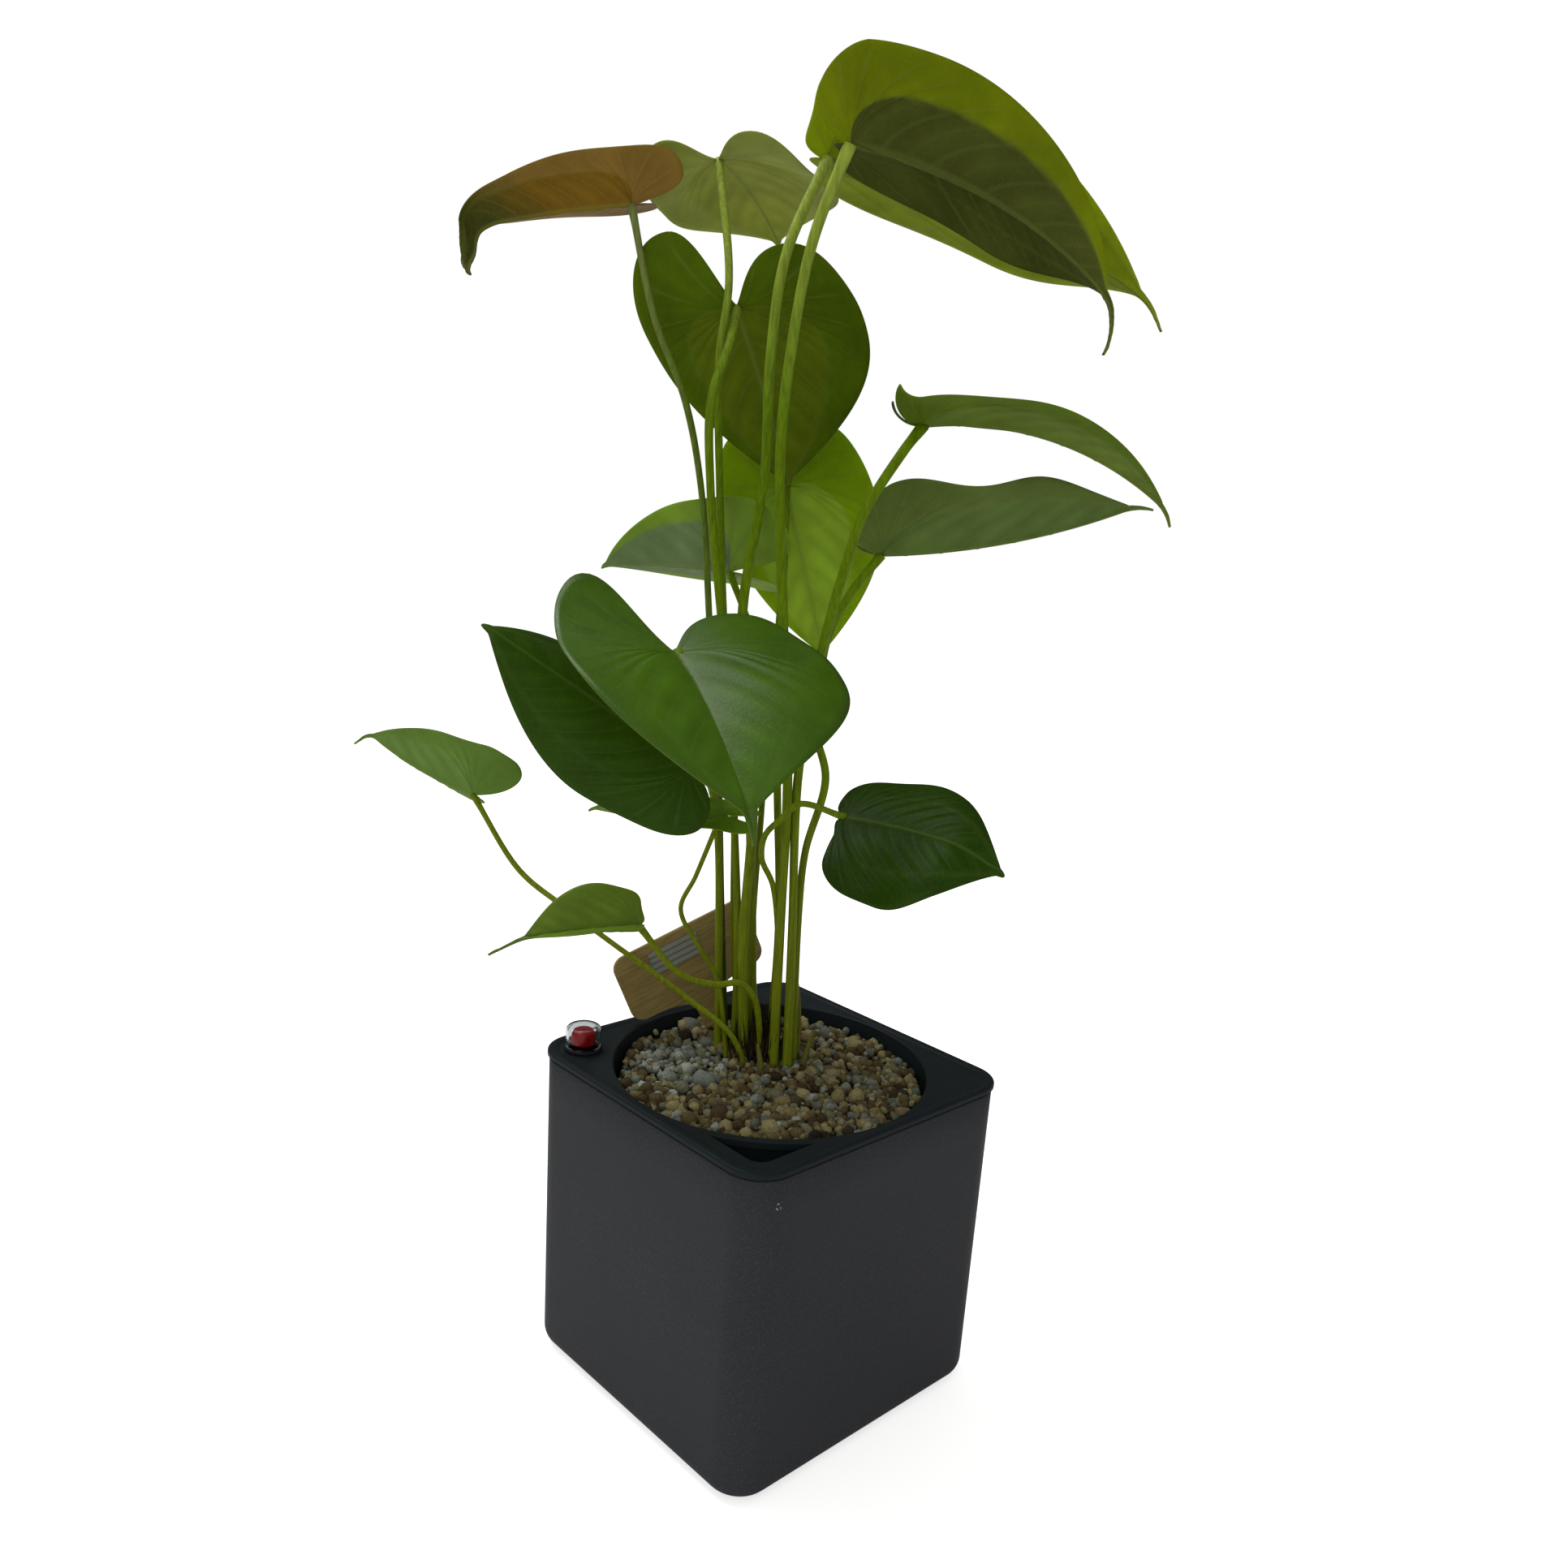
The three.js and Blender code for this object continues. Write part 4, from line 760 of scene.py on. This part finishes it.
mound = []
around = np.linspace(0, 2 * np.pi, 48, endpoint=False)
for lean in np.radians(np.linspace(-88, 88, 30)):
    lump = 1 + 0.07 * np.sin(5 * around + 3 * lean) + 0.05 * np.sin(11 * around - 7 * lean)
    ring = np.stack([
        CROWN[0] + CROWN_HALF[0] * 0.95 * math.cos(lean) * np.cos(around) * lump,
        CROWN[1] + CROWN_HALF[1] * 0.95 * math.cos(lean) * np.sin(around) * lump,
        CROWN[2] + CROWN_HALF[2] * math.sin(lean) * lump,
    ], -1)
    mound.append(ring)
bodies = [mound]
for i in range(7):
    angle = i / 7 * 2 * math.pi + 0.4
    reach, depth = ((15, 62), (24, 44))[i % 2]
    steps = [(0, 0), (0.6, depth * 0.3), (1, depth)]
    points = [(
        CROWN[0] + math.cos(angle) * (10 + reach * s),
        CROWN[1] * (1 - 0.8 * s) + math.sin(angle) * (6 + reach * s),
        CROWN[2] - 4 - drop,
    ) for s, drop in steps]
    way, share, _ = smooth_way(points)
    bodies.append(tube(way, 2.2 - 1.1 * share, 8))
chance = np.random.default_rng(21)
for i in range(FIBRES):
    angle = chance.uniform(0, 2 * np.pi)
    spread = chance.uniform(0.1, 0.75) ** 0.8
    x = CROWN[0] + 17 * spread * math.cos(angle)
    y = CROWN[1] + 14 * spread * math.sin(angle)
    tall = chance.uniform(8, 24) * (1.15 - spread) + 3
    bend = chance.uniform(-5, 5, 2)
    middle = (x + bend[0] * 0.3, y + bend[1] * 0.3, 124)
    points = [(x, y, 118), middle, (x + bend[0], y + bend[1], 124 + tall)]
    way, share, _ = smooth_way(points, 4)
    bodies.append(tube(way, chance.uniform(0.4, 0.9) * (1.02 - share), 5))
points, faces = gathered(bodies)
fibrous, tree, shader = new_material("fibrous_crown", "2c2112", Roughness=0.85, Specular_IOR_Level=0.15)
at = place(tree)
drawn = node(tree, "Mapping", {"Vector": at, "Scale": (1.0, 1.0, 0.15)}).outputs[0]
strand = noise(tree, drawn, 700, 4, 0.7)
colour = ramp(tree, strand, [(0.3, "150e06"), (0.5, "2e2313"), (0.72, "57462b")])
paint(tree, shader, colour)
bump(tree, shader, strand, 0.8, 0.0006)
crown = add_piece("fibrous_rootstock", stand(points), faces, fibrous)
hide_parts("rootstock")

# Growing medium. A tub full of washed mineral granules, three to six millimetres: pumice, fired clay
# and bark, tan, beige, grey-white and brown, with a finer paler patch on one side. A lumpy bed, painted
# near black as the shade in the gaps between the granules, carries two loose layers of rounded stones,
# each a small cube blown up to a ball and worn unevenly.
SOIL_TOP = 122.6
STONES = 2100
bed_rings = [(55.4, 20.4), (62.2, SOIL_TOP - 3.5)]
bed_rings += [(radius, SOIL_TOP - 1.6) for radius in np.linspace(60.5, 0.5, 26)]
angle = np.linspace(0, 2 * np.pi, 96, endpoint=False)
bed = []
for radius, z in bed_rings:
    on_top = 0.5 if z > SOIL_TOP - 3.1 else 0.0
    lumps = on_top * np.sin(radius * 0.9 + 7 * angle) * np.sin(radius * 0.31 - 5 * angle)
    bed.append(np.stack([radius * np.cos(angle), radius * np.sin(angle), z + lumps], -1))
bed_points, bed_faces = capped(bed)

line = np.array([-1.0, 0.0, 1.0])
cube = np.stack(np.meshgrid(line, line, line, indexing="ij"), -1).reshape(-1, 3)
shell_of = np.flatnonzero(np.abs(cube).max(1) == 1)
number = np.full(27, -1)
number[shell_of] = np.arange(26)
stone_faces = []
for axis in range(3):
    b, c = (axis + 1) % 3, (axis + 2) % 3
    for end in (0, 2):
        for j in range(2):
            for k in range(2):
                square = []
                for dj, dk in ((0, 0), (1, 0), (1, 1), (0, 1)):
                    spot = [0, 0, 0]
                    spot[axis], spot[b], spot[c] = end, j + dj, k + dk
                    square.append(number[spot[0] * 9 + spot[1] * 3 + spot[2]])
                stone_faces.append(square if end == 2 else square[::-1])
stone_faces = np.array(stone_faces)
ball = cube[shell_of]
ball = ball / np.linalg.norm(ball, axis=1)[:, None] ** 0.8

chance = np.random.default_rng(7)
order = np.arange(STONES)
layer = order % 2
reach = 60.6 * np.sqrt((order + 0.5) / STONES)
turn = order * np.pi * (3 - math.sqrt(5))
spot = np.stack([reach * np.cos(turn), reach * np.sin(turn)], -1) + chance.normal(0, 0.7, (STONES, 2))
spot *= np.minimum(1, 60.8 / np.linalg.norm(spot, axis=1))[:, None]
fine = (((spot[:, 0] + 36) / 19) ** 2 + ((spot[:, 1] - 8) / 24) ** 2) < 1
size = np.where(fine, 1.45, 1.75) * chance.lognormal(0, 0.28, STONES)
swell = 0.8 * np.sin(spot[:, 0] * 0.13) * np.cos(spot[:, 1] * 0.11)
height = SOIL_TOP - 0.9 + layer * 1.3 + chance.normal(0, 0.8, STONES) + swell
keep = np.ones(STONES, bool)
for way, radius in STALKS.values():
    level = np.argmin(np.abs(way[:, 2] - (SOIL_TOP + 1)))
    keep &= np.linalg.norm(spot - way[level, :2], axis=1) > radius[level] + 1.2
spin = chance.normal(size=(STONES, 4))
w, x, y, z = unit(spin).T
turned_by = np.stack([
    np.stack([1 - 2 * (y * y + z * z), 2 * (x * y - w * z), 2 * (x * z + w * y)], -1),
    np.stack([2 * (x * y + w * z), 1 - 2 * (x * x + z * z), 2 * (y * z - w * x)], -1),
    np.stack([2 * (x * z - w * y), 2 * (y * z + w * x), 1 - 2 * (x * x + y * y)], -1),
], 1)
shape = chance.uniform(0.7, 1.25, (STONES, 1, 3)) * (1 + chance.normal(0, 0.07, (STONES, 26, 1)))
stones = np.einsum("nij,nkj->nki", turned_by, ball[None] * shape * size[:, None, None])
stones += np.concatenate([spot, height[:, None]], 1)[:, None]
tint = np.where(fine, chance.uniform(0.52, 0.98, STONES), chance.beta(1.3, 1.9, STONES))
stones, tint = stones[keep], tint[keep]
loose = (np.arange(len(stones))[:, None, None] * 26 + stone_faces[None] + len(bed_points)).reshape(-1, 4)

mineral, tree, shader = new_material("mineral_granules", "6f6250", Roughness=0.9, Specular_IOR_Level=0.2)
at = place(tree)
tint_of = node(tree, "Attribute", attribute_name="tint").outputs["Fac"]
colour = ramp(tree, tint_of, [
    (0.0, "241c10"), (0.16, "4f4128"), (0.34, "6a5f3c"), (0.5, "8b8159"),
    (0.66, "555a4c"), (0.84, "7c8076"), (1.0, "a0a094"),
])
pore = ramp(tree, noise(tree, at, 900, 4, 0.7), [(0.32, 0.55), (0.68, 1.25)])
paint(tree, shader, mixed(tree, 0.85, colour, pore, "MULTIPLY"))
bump(tree, shader, noise(tree, at, 1300, 3, 0.7), 0.7, 0.0003)
# The bed's near-black colour is painted shade: the shade in the gaps between the granules.
painted_shade_bed, tree, shader = new_material("painted_shade_bed", "1a150d", Roughness=0.95, Specular_IOR_Level=0.1)
colour = ramp(tree, noise(tree, place(tree), 500, 4), [(0.35, "100c07"), (0.7, "2e2618")])
paint(tree, shader, colour)
all_points = stand(np.concatenate([bed_points, stones.reshape(-1, 3)]))
medium = add_piece("growing_medium", all_points, bed_faces + loose.tolist(), mineral, painted_shade_bed)
set_attribute(medium.data, "tint", np.concatenate([np.zeros(len(bed_points)), np.repeat(tint, 26)]))
which = np.zeros(len(medium.data.polygons), np.int32)
which[:len(bed_faces)] = 1
medium.data.polygons.foreach_set("material_index", which)
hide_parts("substrate")

# Plant label. A thin plywood plate with round corners that runs down into a spike pushed into the
# medium, its edges eased, and on it a pale printed film left with plain ruled lines.
TAG_SIZE = (64.0, 32.0)
TAG_ROUND = 6.0
TAG_THICK = 1.6
SPIKE_HALF = 5.0
SPIKE_LENGTH = 52.0
TAG_AT = (-45.0, 37.0, 171.0)


def place_tag(points):
    """Points of the flat label stood upright, leant 24 degrees to one side, turned 25 degrees, moved."""
    x, y, z = np.moveaxis(np.asarray(points, float), -1, 0)
    x, y, z = x, -z, y
    lean, turn = math.radians(24), math.radians(25)
    x, z = x * math.cos(lean) - z * math.sin(lean), x * math.sin(lean) + z * math.cos(lean)
    x, y = x * math.cos(turn) - y * math.sin(turn), x * math.sin(turn) + y * math.cos(turn)
    return stand(np.stack([x, y, z], -1) + TAG_AT)


def plate(outline, thick, ease):
    """Four rings of a flat plate: the outline at both faces drawn in by ease, and full between them."""
    ahead = np.roll(outline, -1, 0) - np.roll(outline, 1, 0)
    inward = unit(np.stack([-ahead[:, 1], ahead[:, 0]], -1))
    small = outline + inward * ease
    half = thick / 2
    return [np.c_[flat, np.full(len(flat), z)] for flat, z in (
        (small, -half), (outline, -half + ease), (outline, half - ease), (small, half))]


def set_uv(piece, flat):
    """Lays the flat x and y of each point, in metres, down as the piece's own map."""
    mesh = piece.data
    corner_of = np.zeros(len(mesh.loops), np.int32)
    mesh.loops.foreach_get("vertex_index", corner_of)
    layer = mesh.uv_layers.new(name="UVMap")
    layer.data.foreach_set("uv", (flat[corner_of] * 0.001).astype(np.float32).ravel())


def round_corners(right, left, top, bottom, radius):
    """Four quarter circles of 8 points, anticlockwise from the top right, about those centres."""
    quarter = np.linspace(0, np.pi / 2, 8)
    centres = ((right, top), (left, top), (left, bottom), (right, bottom))
    return [np.c_[x + radius * np.cos(quarter + k * np.pi / 2), y + radius * np.sin(quarter + k * np.pi / 2)]
            for k, (x, y) in enumerate(centres)]


w, h = TAG_SIZE[0] / 2 - TAG_ROUND, TAG_SIZE[1] - TAG_ROUND
*corners, last = round_corners(w, -w, -TAG_ROUND, -h, TAG_ROUND)
t = np.linspace(0.15, 1, 8)[:, None]
under, turn_in, narrow = (np.array(p) for p in (
    (-w, -TAG_SIZE[1]), (-SPIKE_HALF, -TAG_SIZE[1]), (-SPIKE_HALF, -TAG_SIZE[1] - 8)))
shoulder = (1 - t) ** 2 * under + 2 * t * (1 - t) * turn_in + t ** 2 * narrow
spike_end = -TAG_SIZE[1] - SPIKE_LENGTH
spike = np.array([[-0.6, spike_end], [0.6, spike_end]])
outline = np.concatenate([*corners, shoulder, spike, (shoulder * [-1, 1])[::-1], last])
points, faces = capped(plate(outline, TAG_THICK, 0.3))
wood, tree, shader = new_material("plywood", "7a673a", Roughness=0.6, Specular_IOR_Level=0.2)
flat_at = node(tree, "UVMap", uv_map="UVMap").outputs[0]
drawn = node(tree, "Mapping", {"Vector": flat_at, "Scale": (0.08, 1.0, 1.0)}).outputs[0]
grain = noise(tree, drawn, 900, 5, 0.65)
broad = noise(tree, drawn, 160, 2)
colour = ramp(tree, grain, [(0.3, "7a673c"), (0.5, "927d4b"), (0.7, "9d8a56")])
colour = mixed(tree, 0.6, colour, ramp(tree, broad, [(0.3, 0.8), (0.7, 1.2)]), "MULTIPLY")
paint(tree, shader, colour)
bump(tree, shader, grain, 0.4, 0.00015)
tag = add_piece("wooden_plant_label", place_tag(points), faces, wood, sharp=40)
set_uv(tag, points[:, :2])
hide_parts("plant_tag")

left, top = -TAG_SIZE[0] / 2 + 16, -4.0
wide, tall, rounding = 23, 11, 1
outline = np.concatenate(round_corners(
    left + wide - rounding, left + rounding, top - rounding, top - tall + rounding, rounding))
points, faces = capped([ring + [0, 0, TAG_THICK / 2 + 0.5] for ring in plate(outline, 0.4, 0.08)])
film, tree, shader = new_material("printed_film", "6b7068", Roughness=0.45, Specular_IOR_Level=0.3)
flat_at = node(tree, "UVMap", uv_map="UVMap").outputs[0]
y = node(tree, "SeparateXYZ", {0: flat_at}).outputs[1]
lines = maths(tree, "FRACT", maths(tree, "MULTIPLY", y, 360.0))
ruled = ramp(tree, lines, [(0.5, 0.0), (0.56, 1.0), (0.78, 1.0), (0.84, 0.0)])
soft = noise(tree, flat_at, 400, 3)
paper_colour = mixed(tree, soft, srgb("84877f"), srgb("93968e"))
paint(tree, shader, mixed(tree, ruled, paper_colour, srgb("66665c")))
label = add_piece("ruled_label_film", place_tag(points), faces, film, sharp=40)
set_uv(label, points[:, :2])
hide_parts("tag_label")

# Stage. A plain pale floor under a white surround, one broad soft light from above and behind, and a
# weak broad one beside the camera.
corners = np.array([[-9000, -9000, -0.3], [9000, -9000, -0.3], [9000, 9000, -0.3], [-9000, 9000, -0.3]])
mesh = bpy.data.meshes.new("floor")
mesh.from_pydata((corners * 0.001).tolist(), [], [[0, 1, 2, 3]])
floor = new_object("floor", mesh)
pale, tree, shader = new_material("pale_floor", "f4f4f3", Roughness=0.9, Specular_IOR_Level=0.1)
direct = node(tree, "LightPath").outputs["Is Camera Ray"]
lift = node(tree, "Emission", {"Color": (0.62, 0.62, 0.62, 1), "Strength": direct}).outputs[0]
both = node(tree, "AddShader", {0: shader.outputs[0], 1: lift}).outputs[0]
tree.links.new(both, next(n for n in tree.nodes if n.type == "OUTPUT_MATERIAL").inputs["Surface"])
mesh.materials.append(pale)


def look(thing, right, up, ahead, eye):
    """Places a lamp or camera at the eye, looking ahead, with its own right and up that way."""
    rows = [[right[k], up[k], -ahead[k], eye[k]] for k in range(3)]
    thing.matrix_world = Matrix([*rows, [0, 0, 0, 1]])


def soft_light(name, watts, wide, at, towards):
    """A square area light aimed at a point."""
    lamp = bpy.data.lights.new(name, "AREA")
    lamp.energy, lamp.size = watts, wide
    light = new_object(name, lamp)
    ahead = unit(np.array(towards, float) - np.array(at, float))
    right = unit(np.cross(ahead, (0.3, 0.2, 1.0)))
    look(light, right, np.cross(right, ahead), ahead, at)


soft_light("overhead_softbox", 12.5, 0.9, (-0.7, -0.2, 1.5), (0.0, 0.0, 0.25))
soft_light("front_softbox", 4.4, 1.2, (0.8, -1.1, 0.9), (0.0, 0.0, 0.25))

world = bpy.data.worlds.new("white_surround")
bpy.context.scene.world = world
world.use_nodes = True
tree = world.node_tree
tree.nodes.clear()
seen = node(tree, "Background", {"Color": (1, 1, 1, 1), "Strength": 1.0})
lit = node(tree, "Background", {"Color": (1.0, 1.0, 0.98, 1), "Strength": 0.5})
dim = node(tree, "Background", {"Color": (1.0, 1.0, 1.0, 1), "Strength": 0.12})
path = node(tree, "LightPath")
glossy = node(tree, "MixShader", {0: path.outputs["Is Glossy Ray"], 1: lit.outputs[0], 2: dim.outputs[0]})
both = node(tree, "MixShader", {0: path.outputs["Is Camera Ray"], 1: glossy.outputs[0], 2: seen.outputs[0]})
tree.links.new(both.outputs[0], node(tree, "OutputWorld").inputs["Surface"])
bpy.context.scene.view_settings.view_transform = "Standard"

# Camera. Half a metre off on the filler corner's side, as high as the middle leaves, looking 12 degrees
# down and rolled by nearly 4 degrees.
yaw, pitch, roll = np.radians([-1.35, -12.32, 3.87])
yaw -= np.pi / 4
ahead = np.array([math.sin(yaw) * math.cos(pitch), math.cos(yaw) * math.cos(pitch), math.sin(pitch)])
right = unit(np.cross(ahead, (0, 0, 1)))
up = np.cross(right, ahead)
right, up = right * math.cos(roll) + up * math.sin(roll), up * math.cos(roll) - right * math.sin(roll)
lens = bpy.data.cameras.new("photo_camera")
lens.sensor_width, lens.lens, lens.clip_start = 36.0, 29.92, 0.01
camera = new_object("photo_camera", lens)
eye = (0.3574, -0.3439, 0.3585)
look(camera, right, up, ahead, eye)
bpy.context.scene.camera = camera
